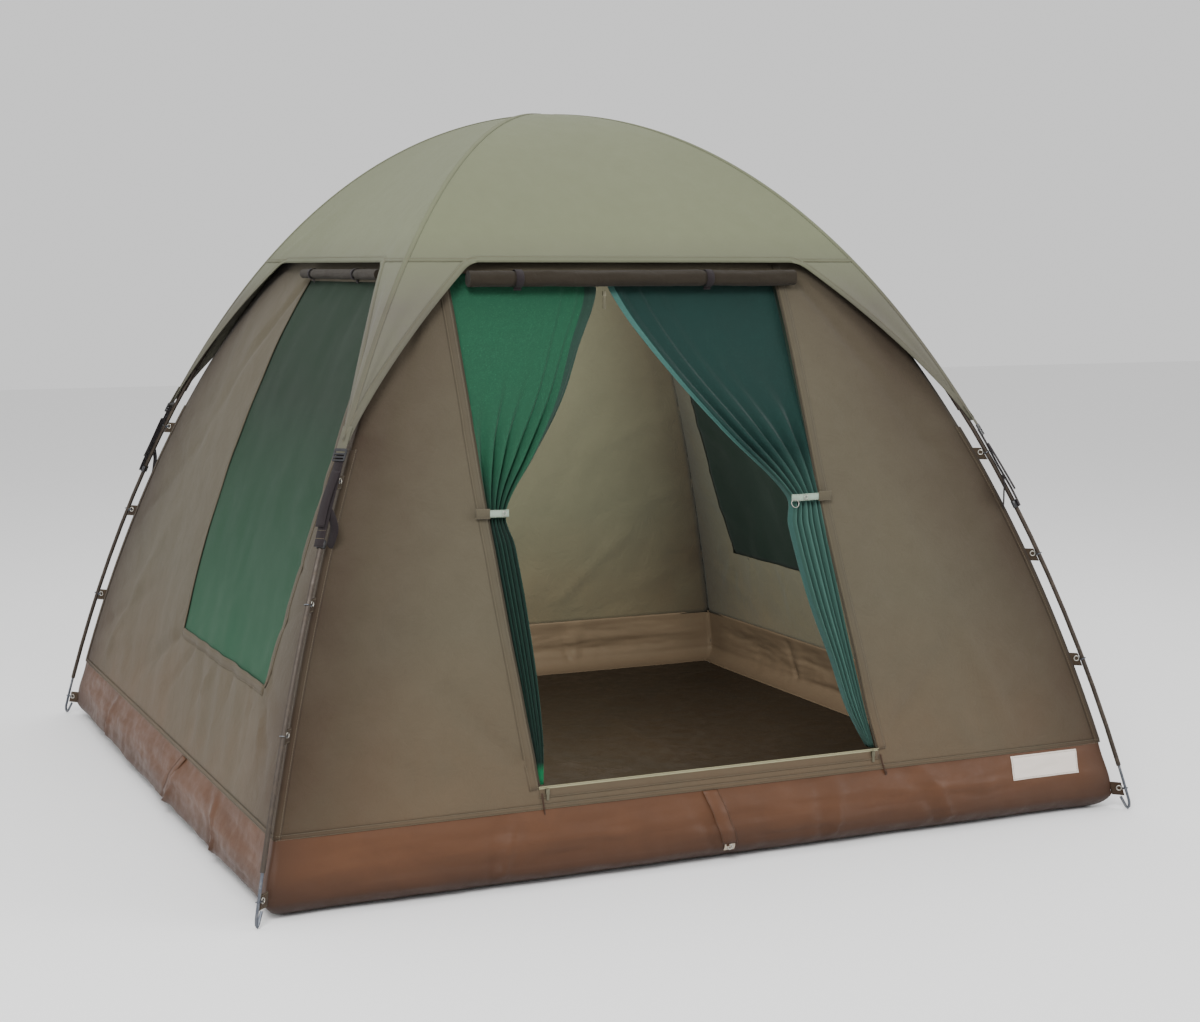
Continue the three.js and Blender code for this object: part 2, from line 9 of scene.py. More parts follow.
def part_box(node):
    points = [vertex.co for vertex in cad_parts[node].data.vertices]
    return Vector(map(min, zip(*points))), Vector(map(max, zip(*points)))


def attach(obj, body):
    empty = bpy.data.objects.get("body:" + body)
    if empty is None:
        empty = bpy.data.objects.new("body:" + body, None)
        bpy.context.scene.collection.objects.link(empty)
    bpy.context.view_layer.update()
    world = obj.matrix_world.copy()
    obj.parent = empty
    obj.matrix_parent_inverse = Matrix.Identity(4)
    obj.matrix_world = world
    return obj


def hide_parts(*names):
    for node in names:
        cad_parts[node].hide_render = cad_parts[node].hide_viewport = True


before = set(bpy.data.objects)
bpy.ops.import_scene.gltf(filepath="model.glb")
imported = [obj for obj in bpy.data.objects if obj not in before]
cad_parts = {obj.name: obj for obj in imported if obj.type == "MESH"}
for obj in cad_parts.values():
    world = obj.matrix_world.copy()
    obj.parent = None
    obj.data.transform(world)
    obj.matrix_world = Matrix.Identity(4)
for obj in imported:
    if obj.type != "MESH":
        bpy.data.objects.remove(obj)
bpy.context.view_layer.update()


# ---- driving sizes ----
FLOOR_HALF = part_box("bucket_front")[1][0]
BUCKET_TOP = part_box("bucket_front")[1][2]
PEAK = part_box("fly_front_panel")[1][2] - 0.014
BOW = ((1.25, 0.0), (1.05, 0.95), (0.62, PEAK), (0.0, PEAK))  # half width, height: foot to peak
POLE_RADIUS = 0.00635
PIN_RADIUS = 0.004
WALL_OUT = -0.024  # wall face, square to the bow
FLY_OUT = 0.0125
FLY_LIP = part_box("fly_front_panel")[0][2] + 0.0015
LEG_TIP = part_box("fly_leg_front_left")[0][2] + 0.001
DOOR_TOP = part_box("front_wall_left")[1][2]
SILL_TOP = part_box("door_sill_band")[1][2]
JAMB_LEFT = (-0.512, -0.560, -0.555)  # bottom, middle, top
JAMB_RIGHT = (0.465, 0.407, 0.425)
TIE_HEIGHT = sum(corner[2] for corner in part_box("tie_back_left")) / 2
TAB_HEIGHTS = (0.060, 0.420, 0.710, 0.990)
PIN_SOCKET = 0.124
CORNERS = {"front_right": 0, "back_right": 1, "back_left": 2, "front_left": 3}
CLOTH_THICKNESS = {
    "canvas": 0.0014, "flysheet": 0.0013, "tub": 0.0016, "floor": 0.0014, "window": 0.0006,
    "curtain": 0.0007, "label": 0.0008,
}
BANDS = {  # (width, thickness) of what is sewn flat to a surface
    "seam": (0.013, 0.0010), "window_hem": (0.026, 0.0012), "jamb_hem": (0.026, 0.0013),
    "sill_hem": (0.022, 0.0012), "fly_hem": (0.018, 0.0011), "fly_patch": (0.011, 0.0010),
    "sill_zip": (0.009, 0.0009), "jamb_zip": (0.007, 0.0009),
}
WEBS = {  # (width, thickness) of webbing, tabs and hooks
    "leg_tab": (0.026, 0.0022), "tie_band": (0.019, 0.0022), "tie_tab": (0.026, 0.0030),
    "corner_tab": (0.038, 0.0030), "strap": (0.025, 0.0018), "strap_tail": (0.024, 0.0016),
    "strap_end": (0.022, 0.0016), "hook": (0.022, 0.0026), "peg_strip": (0.044, 0.0022),
    "peg_patch": (0.030, 0.0010), "door_roll": (0.022, 0.0014), "window_roll": (0.016, 0.0012),
}
ROLL_STRAP_TAIL = 0.010
WALL_STEP = 0.018  # height of one row of a wall's faces
SIDES = {"front": 0, "right": 1, "back": 2, "left": 3}


def mix(a, b, u):
    return a + (b - a) * u


def clamp(value, low=0.0, high=1.0):
    return max(low, min(high, value))


def smooth(u):
    u = clamp(u)
    return u * u * (3 - 2 * u)


def spread(start, end, count):
    return [mix(start, end, i / count) for i in range(count + 1)]


def through(knots, x):
    """A smooth curve through (x, value) knots, with x rising."""
    if x <= knots[0][0]:
        return knots[0][1]
    for i in range(len(knots) - 1):
        (x0, y0), (x1, y1) = knots[i], knots[i + 1]
        if x <= x1:
            before = knots[max(i - 1, 0)]
            after = knots[min(i + 2, len(knots) - 1)]
            m0 = (y1 - before[1]) / (x1 - before[0])
            m1 = (after[1] - y0) / (after[0] - x0)
            u, w = (x - x0) / (x1 - x0), x1 - x0
            a, b = (1 + 2 * u) * (1 - u) ** 2, u * u * (3 - 2 * u)
            return a * y0 + b * y1 + w * (u * (1 - u) ** 2 * m0 - u * u * (1 - u) * m1)
    return knots[-1][1]


def turned(point, quarter_turns):
    return Matrix.Rotation(quarter_turns * math.pi / 2, 4, "Z") @ Vector(point)


# ---- the bow and the tent's skin ----
def bow(t, out=0.0):
    """(half width, height, outward normal) on the bow, moved out square to it."""
    s = 1 - t
    weight = (s**3, 3 * s * s * t, 3 * s * t * t, t**3)
    slope = (-3 * s * s, 3 * s * (s - 2 * t), 3 * t * (2 * s - t), 3 * t * t)
    dh = sum(w * p[0] for w, p in zip(slope, BOW))
    dz = sum(w * p[1] for w, p in zip(slope, BOW))
    length = math.hypot(dh, dz)
    normal = (dz / length, -dh / length)
    h = sum(w * p[0] for w, p in zip(weight, BOW)) + out * normal[0]
    z = sum(w * p[1] for w, p in zip(weight, BOW)) + out * normal[1]
    return h, z, normal


def bow_at(z, out=0.0):
    low, high = 0.0, 1.0
    for _ in range(30):
        middle = (low + high) / 2
        if bow(middle, out)[1] < z:
            low = middle
        else:
            high = middle
    return (low + high) / 2


def jamb(side, z):
    u = clamp((z - SILL_TOP) / (DOOR_TOP - SILL_TOP))
    bottom, middle, top = side
    return mix(bottom, top, u) + 4 * u * (1 - u) * (middle - (bottom + top) / 2)


def diagonal_point(t, out=0.0, across=0.0, corner=0):
    """On a corner's bow: moved out square to it in its own upright plane, and level across it."""
    h, z, (nh, nz) = bow(t)
    lean = Vector((nh, nz * math.sqrt(2))).normalized()
    radius = h * math.sqrt(2) + out * lean[0]
    point = Vector(((radius + across) / math.sqrt(2), (across - radius) / math.sqrt(2), z + out * lean[1]))
    return turned(point, corner)


def diagonal_axes(t, corner):
    """(level, up the bow, outward) at a corner's bow."""
    origin = diagonal_point(t, 0, 0, corner)
    out = (diagonal_point(t, 1, 0, corner) - origin).normalized()
    level = (diagonal_point(t, 0, 1, corner) - origin).normalized()
    return level, out.cross(level).normalized(), out


# ---- camera, light and floor ----
CAMERA_PLACE = Vector((-2.3838, -5.6532, 1.5087))
CAMERA_YAW = math.radians(24.44)
CAMERA_PITCH = math.radians(-6.90)
LENS = 60.65  # on a 36 mm wide sensor


def make_camera():
    data = bpy.data.cameras.new("camera")
    data.lens = LENS
    data.sensor_width = 36.0
    data.clip_end = 60.0
    camera = bpy.data.objects.new("camera", data)
    camera.location = CAMERA_PLACE
    camera.rotation_euler = (math.pi / 2 + CAMERA_PITCH, 0.0, -CAMERA_YAW)
    bpy.context.scene.collection.objects.link(camera)
    bpy.context.scene.camera = camera


def area_light(name, place, target, size, power, color=(1, 1, 1)):
    data = bpy.data.lights.new(name, "AREA")
    data.shape = "SQUARE"
    data.size = size
    data.energy = power
    data.color = color
    light = bpy.data.objects.new(name, data)
    light.location = place
    light.visible_camera = False
    light.rotation_euler = (Vector(target) - Vector(place)).to_track_quat("-Z", "Y").to_euler()
    bpy.context.scene.collection.objects.link(light)
    return light


def make_stage():
    world = bpy.data.worlds.new("studio")
    world.use_nodes = True
    world.node_tree.nodes["Background"].inputs["Color"].default_value = (1.0, 1.0, 1.0, 1)
    world.node_tree.nodes["Background"].inputs["Strength"].default_value = 0.95
    bpy.context.scene.world = world
    for name, place, aim_height, size, watts in (
        ("key", (-3.4, -5.2, 5.2), 0.7, 2.6, 470),
        ("fill", (5.5, -4.5, 3.2), 0.8, 3.0, 185),
        ("side", (-6.0, 1.2, 2.4), 0.8, 3.0, 60),
        ("top", (0.5, 1.0, 5.8), 1.0, 4.0, 120),
    ):
        area_light(name, place, (0, 0, aim_height), size, watts)
    cabin = area_light("cabin", (0.0, -0.42, 0.98), (0.0, 0.9, 0.42), 0.8, 78, (0.88, 1.0, 0.92))
    cabin.data.specular_factor = 0.15
    bpy.ops.mesh.primitive_plane_add(size=40, location=(0, 0, -0.0012))
    floor = bpy.context.object
    floor.name = "studio_floor"
    floor.data.materials.append(plain_floor())


def plain_floor():
    material = bpy.data.materials.new("studio_floor")
    material.use_nodes = True
    shader = material.node_tree.nodes["Principled BSDF"]
    shader.inputs["Base Color"].default_value = (0.88, 0.88, 0.88, 1)
    shader.inputs["Roughness"].default_value = 0.9
    return material


# ---- materials ----
def linear(red, green, blue):
    def one(channel):
        c = channel / 255
        return c / 12.92 if c < 0.04045 else ((c + 0.055) / 1.055) ** 2.4

    return (one(red), one(green), one(blue), 1.0)


class Recipe:
    """A node material: the shader's own sockets hold whatever is the same all over."""

    def __init__(self, name, **sockets):
        self.material = bpy.data.materials.new(name)
        self.material.use_nodes = True
        self.tree = self.material.node_tree
        self.shader = self.tree.nodes["Principled BSDF"]
        for socket, value in sockets.items():
            self.shader.inputs[socket.replace("_", " ")].default_value = value

    def node(self, kind, settings=(), **inputs):
        made = self.tree.nodes.new("ShaderNode" + kind)
        for key, value in dict(settings).items():
            setattr(made, key, value)
        for name, value in inputs.items():
            self.feed(made.inputs[name.replace("_", " ")], value)
        return made

    def feed(self, socket, value):
        if isinstance(value, bpy.types.NodeSocket):
            self.tree.links.new(value, socket)
        else:
            socket.default_value = value

    def place(self):
        return self.node("TexCoord").outputs["Object"]

    def height(self, place):
        return self.node("SeparateXYZ", Vector=place).outputs["Z"]

    def cloth_map(self):
        return self.node("UVMap", {"uv_map": "cloth"}).outputs["UV"]

    def noise(self, vector, scale, detail=4.0, roughness=0.55, distortion=0.0):
        made = self.node("TexNoise", Vector=vector, Scale=scale, Detail=detail)
        made.inputs["Roughness"].default_value = roughness
        made.inputs["Distortion"].default_value = distortion
        return made.outputs["Fac"]

    def scaled(self, vector, scale):
        made = self.node("Mapping", Vector=vector)
        made.inputs["Scale"].default_value = scale
        return made.outputs["Vector"]

    def math(self, operation, a, b=0.0):
        made = self.node("Math", {"operation": operation})
        self.feed(made.inputs[0], a)
        self.feed(made.inputs[1], b)
        return made.outputs[0]

    def range(self, value, low, high, to_low, to_high):
        made = self.node("MapRange", Value=value)
        for socket, number in zip(("From Min", "From Max", "To Min", "To Max"), (low, high, to_low, to_high)):
            made.inputs[socket].default_value = number
        return made.outputs["Result"]

    def blend(self, factor, a, b):
        made = self.node("Mix", {"data_type": "RGBA"})
        self.feed(made.inputs[0], factor)
        self.feed(made.inputs[6], a)
        self.feed(made.inputs[7], b)
        return made.outputs[2]

    def bump(self, height, strength, distance, under=None):
        made = self.node("Bump", Height=height, Strength=strength, Distance=distance)
        if under is not None:
            self.feed(made.inputs["Normal"], under)
        return made.outputs["Normal"]

    def finish(self, color, roughness, normal):
        for socket, value in (("Base Color", color), ("Roughness", roughness), ("Normal", normal)):
            self.feed(self.shader.inputs[socket], value)
        return self.material


def shade(color, factor):
    return tuple(c * factor for c in color[:3]) + (1.0,)


def weave_height(recipe, pitch):
    """Plain weave: warp and weft threads that pass over each other in turn."""
    vector = recipe.cloth_map()
    split = recipe.node("SeparateXYZ", Vector=vector)
    turns = math.pi / pitch
    across = recipe.math("SINE", recipe.math("MULTIPLY", split.outputs["X"], turns))
    along = recipe.math("SINE", recipe.math("MULTIPLY", split.outputs["Y"], turns))
    return recipe.math("MULTIPLY", across, along)


def corner_painted_shade(recipe, place, cloud, reach, strength):
    """Painted shade that gathers along the tent's four corner lines and thins out unevenly across each wall.
    """
    split = recipe.node("SeparateXYZ", Vector=place)
    across = [recipe.math("ABSOLUTE", split.outputs[axis]) for axis in "XY"]
    off = recipe.math("ABSOLUTE", recipe.math("SUBTRACT", across[0], across[1]))
    near = recipe.math("POWER", recipe.range(off, 0.0, reach, 1.0, 0.0), 1.6)
    return recipe.math("MULTIPLY", near, recipe.range(cloud, 0.3, 0.7, strength * 0.6, strength))


def woven(name, color, pitch, roughness, mottle=0.12, weave=0.35, creases=0.2, dirt_and_shade=0.0, sheen=0.05):
    """Canvas or webbing: weave, slubs, uneven dye, soft creases, grime towards the ground and painted shade
    along the corners.
    """
    recipe = Recipe(name, Sheen_Weight=sheen, Sheen_Roughness=0.6, Specular_IOR_Level=0.15)
    place = recipe.place()
    threads = weave_height(recipe, pitch)
    slubs = recipe.noise(recipe.scaled(recipe.cloth_map(), (35, 420, 1)), 1.0, 2.0)
    cloud = recipe.noise(place, 3.2, 5.0, 0.6, 0.4)
    patch = recipe.noise(place, 19.0, 4.0, 0.6)
    tone = recipe.blend(cloud, shade(color, 1 - mottle), shade(color, 1 + mottle))
    tone = recipe.blend(recipe.range(patch, 0.35, 0.75, 0.0, 0.28), tone, shade(color, 0.86))
    tone = recipe.blend(recipe.range(slubs, 0.45, 0.8, 0.0, 0.35), tone, shade(color, 1.16))
    tone = recipe.blend(recipe.range(threads, -1.0, 1.0, 0.22, 0.0), tone, shade(color, 0.55))
    if dirt_and_shade:
        height = recipe.height(place)
        low = recipe.range(height, 0.19, 0.62, 1.0, 0.0)
        spotted = recipe.math("MULTIPLY", low, recipe.range(cloud, 0.3, 0.7, 0.35, 1.0))
        tone = recipe.blend(recipe.math("MULTIPLY", spotted, dirt_and_shade), tone, linear(96, 72, 52))
        # painted shade: the canvas painted dark brown towards the tent's corner lines
        tone = recipe.blend(corner_painted_shade(recipe, place, cloud, 0.42, dirt_and_shade * 2.0), tone, linear(44, 31, 22))
    fine = recipe.bump(threads, weave, pitch * 0.5)
    soft = recipe.noise(place, 11.0, 6.0, 0.62, 0.8)
    normal = recipe.bump(soft, creases, 0.02, fine)
    rough = recipe.range(patch, 0.3, 0.7, roughness - 0.06, roughness + 0.05)
    return recipe.finish(tone, rough, normal)


def flysheet_cloth(name, color, leg_color_and_shade):
    """Flysheet canvas: grey-green over the top, browner and darker down the legs, partly the cloth's own tone
    and partly painted shade, with long soft creases.
    """
    recipe = Recipe(name, Sheen_Weight=0.05, Sheen_Roughness=0.6, Specular_IOR_Level=0.15)
    place = recipe.place()
    threads = weave_height(recipe, 0.0013)
    cloud = recipe.noise(place, 2.6, 5.0, 0.6, 0.4)
    patch = recipe.noise(place, 21.0, 4.0, 0.6)
    height = recipe.height(place)
    top = recipe.blend(cloud, shade(color, 0.93), shade(color, 1.07))
    low = recipe.blend(cloud, shade(leg_color_and_shade, 0.93), shade(leg_color_and_shade, 1.07))
    # partly painted shade: below the lip the flysheet blends into the darker leg tone
    tone = recipe.blend(recipe.range(height, 1.40, 1.60, 0.0, 1.0), low, top)
    tone = recipe.blend(recipe.range(patch, 0.35, 0.75, 0.0, 0.22), tone, shade(color, 0.86))
    tone = recipe.blend(recipe.range(threads, -1.0, 1.0, 0.18, 0.0), tone, shade(color, 0.55))
    fine = recipe.bump(threads, 0.28, 0.0006)
    normal = recipe.bump(recipe.noise(place, 9.0, 6.0, 0.62, 0.8), 0.12, 0.02, fine)
    return recipe.finish(tone, recipe.range(patch, 0.3, 0.7, 0.8, 0.9), normal)


def coated(name, color, low_color, roughness, creases):
    """Coated cloth: a faint weave under a satin skin, crazed creases, scuffs, and painted shade darker near
    the ground and along the corners.
    """
    recipe = Recipe(name, Specular_IOR_Level=0.26)
    place = recipe.place()
    threads = weave_height(recipe, 0.0016)
    cloud = recipe.noise(place, 4.0, 6.0, 0.62, 0.7)
    scuff = recipe.noise(place, 22.0, 5.0, 0.7)
    height = recipe.height(place)
    tone = recipe.blend(recipe.range(cloud, 0.3, 0.72, 0.0, 1.0), shade(color, 0.84), shade(color, 1.13))
    # painted shade: the lowest 11 cm blend into low_color, darker towards the bottom
    ground = recipe.range(height, 0.0, 0.11, 0.95, 0.0)
    tone = recipe.blend(ground, tone, low_color)
    tone = recipe.blend(recipe.range(scuff, 0.55, 0.8, 0.0, 0.10), tone, shade(color, 1.2))
    # painted shade along the corner lines
    tone = recipe.blend(corner_painted_shade(recipe, place, cloud, 0.16, 0.6), tone, shade(low_color, 0.8))
    warped = recipe.noise(place, 7.0, 5.0, 0.6, 1.2)
    fine = recipe.bump(threads, 0.12, 0.0006)
    normal = recipe.bump(warped, creases, 0.012, fine)
    rough = recipe.range(scuff, 0.3, 0.75, roughness - 0.08, roughness + 0.16)
    return recipe.finish(tone, rough, normal)


def netting(name, color, edge_color, alpha, sheen=0.1, tail=None, tip=None, fade=(0.86, 1.02)):
    """Fine insect net: a lattice of threads that lets some light through, painted glints, and another tone
    lower down painted in as light and shade.
    """
    recipe = Recipe(name, Sheen_Weight=sheen, Sheen_Roughness=0.4, Specular_IOR_Level=0.1, Alpha=alpha)
    place = recipe.place()
    threads = weave_height(recipe, 0.0017)
    cloud = recipe.noise(place, 5.0, 4.0, 0.6, 0.4)
    # painted glints: tiny specks lighter than the thread colour
    painted_glint = recipe.noise(place, 420.0, 2.0, 0.7)
    tone = recipe.blend(recipe.range(cloud, 0.3, 0.7, 0.0, 1.0), shade(color, 0.84), shade(color, 1.14))
    tone = recipe.blend(recipe.range(threads, -1.0, 1.0, 0.0, 0.4), tone, edge_color)
    tone = recipe.blend(recipe.range(painted_glint, 0.6, 0.75, 0.0, 0.5), tone, shade(edge_color, 1.5))
    # painted light and shade: another tone below the fade heights, and a lit tip lower still
    if tail:
        height = recipe.height(place)
        tone = recipe.blend(recipe.range(height, fade[0], fade[1], 1.0, 0.0), tone, tail)
        if tip:
            tone = recipe.blend(recipe.range(height, 0.270, 0.290, 1.0, 0.0), tone, tip)
    normal = recipe.bump(threads, 0.4, 0.0007)
    return recipe.finish(tone, recipe.range(cloud, 0.3, 0.7, 0.62, 0.8), normal)


def metal(name, color, worn, roughness, metallic=1.0):
    """Drawn or cast metal: long scratches, dull patches and paint worn through to a paler tone."""
    recipe = Recipe(name, Metallic=metallic)
    place = recipe.place()
    grain = recipe.noise(recipe.scaled(place, (220, 220, 30)), 1.0, 5.0, 0.7)
    patch = recipe.noise(place, 34.0, 5.0, 0.65, 0.6)
    tone = recipe.blend(recipe.range(patch, 0.52, 0.68, 0.0, 0.75), color, worn)
    tone = recipe.blend(recipe.range(grain, 0.4, 0.8, 0.0, 0.3), tone, shade(worn, 1.2))
    normal = recipe.bump(grain, 0.15, 0.0006)
    return recipe.finish(tone, recipe.range(patch, 0.3, 0.7, roughness - 0.08, roughness + 0.15), normal)


def moulded(name, color, roughness):
    """Moulded plastic: a fine spark-eroded grain, with handling shine."""
    recipe = Recipe(name, Specular_IOR_Level=0.5)
    place = recipe.place()
    grain = recipe.noise(place, 900.0, 3.0, 0.6)
    rub = recipe.noise(place, 60.0, 4.0, 0.6)
    tone = recipe.blend(recipe.range(rub, 0.4, 0.75, 0.0, 0.6), color, shade(color, 1.9))
    normal = recipe.bump(grain, 0.12, 0.0004)
    return recipe.finish(tone, recipe.range(rub, 0.3, 0.7, roughness - 0.1, roughness + 0.1), normal)


WALL_COLOR = linear(79, 73, 59)
M = {
    "wall": woven("wall_canvas", WALL_COLOR, 0.0014, 0.88, 0.08, 0.3, 0.30, 0.45),
    "hem": woven("hem_canvas", shade(WALL_COLOR, 0.9), 0.0014, 0.88, 0.08, 0.3, 0.12, 0.45),
    "fly": flysheet_cloth("fly_canvas", linear(104, 108, 85), linear(88, 85, 76)),
    "fly_hem": flysheet_cloth("fly_hem_canvas", linear(101, 105, 83), linear(80, 77, 67)),
    # painted shadow: the rolled door and window flaps are the wall canvas painted much darker, for the shadow
    # under the flysheet's lip
    "roll": woven("shaded_rolled_canvas", linear(38, 32, 23), 0.0014, 0.88, 0.1, 0.3, 0.3),
    "bucket": coated("bucket_coated_cloth", linear(79, 50, 30), linear(36, 20, 12), 0.48, 0.10),
    "bucket_inside": coated("bucket_inner_face", linear(92, 73, 58), linear(80, 62, 48), 0.75, 0.03),
    "floor": coated("groundsheet_coated_cloth", linear(28, 16, 6), linear(29, 19, 11), 0.5, 0.3),
    # painted light: the left window net turns a brighter green towards its foot
    "window": netting(
        "window_net", linear(24, 34, 26), linear(50, 74, 56), 0.985, 0.02,
        tail=linear(40, 80, 58), fade=(0.30, 1.15),
    ),
    "shaded_window": netting("shaded_window_net", linear(17, 24, 20), linear(34, 46, 40), 0.985, 0.02),
    # painted shade: the left curtain darker below the tie, with a painted lit bright-green tip at its foot
    "green": netting(
        "green_net", linear(12, 45, 31), linear(60, 124, 92), 0.97, 0.08,
        tail=linear(24, 48, 40), tip=linear(30, 130, 84),
    ),
    # painted light: the right curtain lighter below the tie
    "teal": netting("teal_net", linear(11, 32, 28), linear(44, 76, 71), 0.97, 0.08, linear(54, 84, 76)),
    "green_hem": netting("green_net_hem", linear(24, 40, 34), linear(52, 84, 70), 0.99, 0.15),
    "teal_hem": netting("teal_net_hem", linear(40, 70, 65), linear(84, 130, 122), 0.99, 0.15),
    "webbing": woven("black_webbing", linear(34, 27, 29), 0.0018, 0.75, 0.14, 0.8, 0.05),
    "pale": woven("pale_webbing", linear(150, 168, 152), 0.0016, 0.78, 0.06, 0.7, 0.05),
    "thread": woven("sewing_thread", linear(104, 96, 78), 0.0006, 0.7, 0.08, 0.3, 0.0),
    "dark_thread": woven("dark_thread", linear(62, 50, 40), 0.0006, 0.7, 0.08, 0.3, 0.0),
    "zip_tape": woven("zip_tape", linear(150, 146, 116), 0.0009, 0.8, 0.06, 0.5, 0.0),
    "zip_dark": woven("dark_zip_tape", linear(62, 56, 44), 0.0009, 0.8, 0.06, 0.5, 0.0),
    "label": woven("label_cloth", linear(216, 206, 196), 0.0007, 0.75, 0.03, 0.3, 0.05),
    "clear": moulded("clear_patch", linear(150, 140, 122), 0.3),
    "cord": woven("brown_cord", linear(66, 46, 34), 0.0014, 0.85, 0.12, 0.8, 0.0),
    "pole": metal("pole_bronze_paint", linear(50, 42, 35), linear(78, 68, 57), 0.5, 0.5),
    "pin": metal("pin_steel", linear(84, 88, 96), linear(140, 140, 140), 0.38),
    "zip_metal": metal("zip_metal", linear(96, 93, 78), linear(132, 128, 110), 0.4),
    "eyelet": metal("eyelet_nickel", linear(178, 176, 168), linear(120, 112, 98), 0.3),
    "plastic": moulded("black_plastic", linear(24, 24, 27), 0.42),
}


# ---- making pieces ----
def piece(name, points, faces, material, body, cloth_uv, slot=None):
    """A mesh piece that rides on a CAD body; cloth_uv is one (u, v) in metres for each point."""
    data = bpy.data.meshes.new(name)
    data.from_pydata([tuple(p) for p in points], [], faces)
    data.polygons.foreach_set("use_smooth", [True] * len(data.polygons))
    layer = data.uv_layers.new(name="cloth")
    for loop in data.loops:
        layer.data[loop.index].uv = cloth_uv[loop.vertex_index]
    data.materials.append(material)
    data.update()
    made = bpy.data.objects.new(name, data)
    bpy.context.scene.collection.objects.link(made)
    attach(made, body)
    return made


def thicken(made, cloth):
    """Gives a cloth piece its back face, the cloth's thickness behind the modelled one."""
    modifier = made.modifiers.new("thickness", "SOLIDIFY")
    modifier.thickness = CLOTH_THICKNESS[cloth]
    modifier.offset = -1.0
    modifier.use_even_offset = False
    return modifier


def cloth_piece(name, patch, material, cloth, slot, *nodes):
    """A finished cloth piece of the tent, in place of these CAD nodes."""
    made = piece(name, patch.points, patch.faces, material, "tent", patch.uv, slot)
    thicken(made, cloth)
    if nodes:
        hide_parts(*nodes)
    return made


class Patch:
    """Points, faces and cloth coordinates gathered from several grids and tubes."""

    def __init__(self):
        self.points, self.faces, self.uv = [], [], []

    def grid(self, rows, uv_rows, keep=None, closed=False):
        start, width = len(self.points), len(rows[0])
        for row, uv_row in zip(rows, uv_rows):
            self.points.extend(row)
            self.uv.extend(uv_row)
        for i in range(len(rows) - 1):
            for j in range(width if closed else width - 1):
                if keep is None or keep(i, j):
                    a, b = start + i * width + j, start + i * width + (j + 1) % width
                    self.faces.append((a, b, b + width, a + width))

    def ring(self, rows, uv_rows):
        """A closed tube through rings of points, with its ends filled."""
        start, width = len(self.points), len(rows[0])
        self.grid(rows, uv_rows, closed=True)
        last = len(self.points) - width
        self.faces.append(tuple(reversed(range(start, start + width))))
        self.faces.append(tuple(range(last, last + width)))

    def tube(self, path, radius, sides=12, closed=False):
        """Round bar along a list of points; radius is a number or one for each point."""
        path = [Vector(p) for p in path]
        count = len(path)
        radii = radius if isinstance(radius, (list, tuple)) else [radius] * count
        frames = travelling_frames(path, closed)
        travelled, rows, uv_rows = 0.0, [], []
        order = list(range(count)) + ([0] if closed else [])
        for step, i in enumerate(order):
            if step:
                travelled += (path[i] - path[order[step - 1]]).length
            side, up = frames[i]
            ring = []
            for k in range(sides):
                angle = 2 * math.pi * k / sides
                ring.append(path[i] + radii[i] * (math.cos(angle) * side + math.sin(angle) * up))
            rows.append(ring)
            uv_rows.append([(2 * math.pi * radii[i] * k / sides, travelled) for k in range(sides)])
        if closed:
            rows.pop()
            uv_rows.pop()
            start = len(self.points)
            self.grid(rows, uv_rows, closed=True)
            for k in range(sides):
                a, b = start + (count - 1) * sides + k, start + (count - 1) * sides + (k + 1) % sides
                self.faces.append((a, b, start + (k + 1) % sides, start + k))
        else:
            self.ring(rows, uv_rows)

    def strip(self, path, level, out, width, thickness, lift=0.0):
        """Flat webbing along a path; level and out give its width and face directions at each point."""
        rows, uv_rows, travelled = [], [], 0.0
        half, round_off = width / 2, min(thickness / 2, width / 8)
        inner, edge = half - round_off, thickness * 0.45
        section = [(-half, edge), (-inner, thickness), (inner, thickness), (half, edge)]
        section += [(inner, 0), (-inner, 0)]
        for i, point in enumerate(path):
            if i:
                travelled += (Vector(point) - Vector(path[i - 1])).length
            across, face = pick(level, i), pick(out, i)
            rows.append([Vector(point) + x * across + (y + lift) * face for x, y in section])
            uv_rows.append([(x, travelled) for x, _ in section])
        self.ring(rows, uv_rows)

    def made(self, name, material, body="tent", **options):
        result = piece(name, self.points, self.faces, material, body, self.uv, **options)
        outward(result)
        return result


def pick(value, i):
    return Vector(value[i]) if isinstance(value, list) else Vector(value)


def travelling_frames(path, closed=False):
    """A side and an up direction at each point of a path, carried along without twist."""
    count = len(path)
    tangents = []
    for i in range(count):
        before = path[(i - 1) % count] if closed or i else path[0]
        after = path[(i + 1) % count] if closed or i < count - 1 else path[-1]
        tangents.append((after - before).normalized())
    start = Vector((0, 0, 1)) if abs(tangents[0].z) < 0.9 else Vector((1, 0, 0))
    side = tangents[0].cross(start).normalized()
    frames = []
    for tangent in tangents:
        side = (side - tangent * side.dot(tangent)).normalized()
        frames.append((side, tangent.cross(side).normalized()))
    return frames


def outward(made):
    work = bmesh.new()
    work.from_mesh(made.data)
    bmesh.ops.recalc_face_normals(work, faces=work.faces)
    work.to_mesh(made.data)
    work.free()


def relief(x, y, seed, broad=0.0, fine=0.0):
    """Soft unevenness of hanging cloth, in metres."""
    big = noise.noise(Vector((x * 2.3, y * 1.9, seed)))
    small = noise.noise(Vector((x * 9.0, y * 7.0, seed + 5.3)))
    return broad * big + fine * small


def fold(x, y, start, end, width, depth):
    """A crease between two places, fading towards its far end."""
    ax, ay = end[0] - start[0], end[1] - start[1]
    along = clamp(((x - start[0]) * ax + (y - start[1]) * ay) / (ax * ax + ay * ay))
    away = math.hypot(x - start[0] - along * ax, y - start[1] - along * ay)
    wide = width * (0.5 + along)
    return depth * math.exp(-((away / wide) ** 2)) * (1 - along) ** 0.6 * smooth(along * 8 + 0.3)


make_camera()
make_stage()


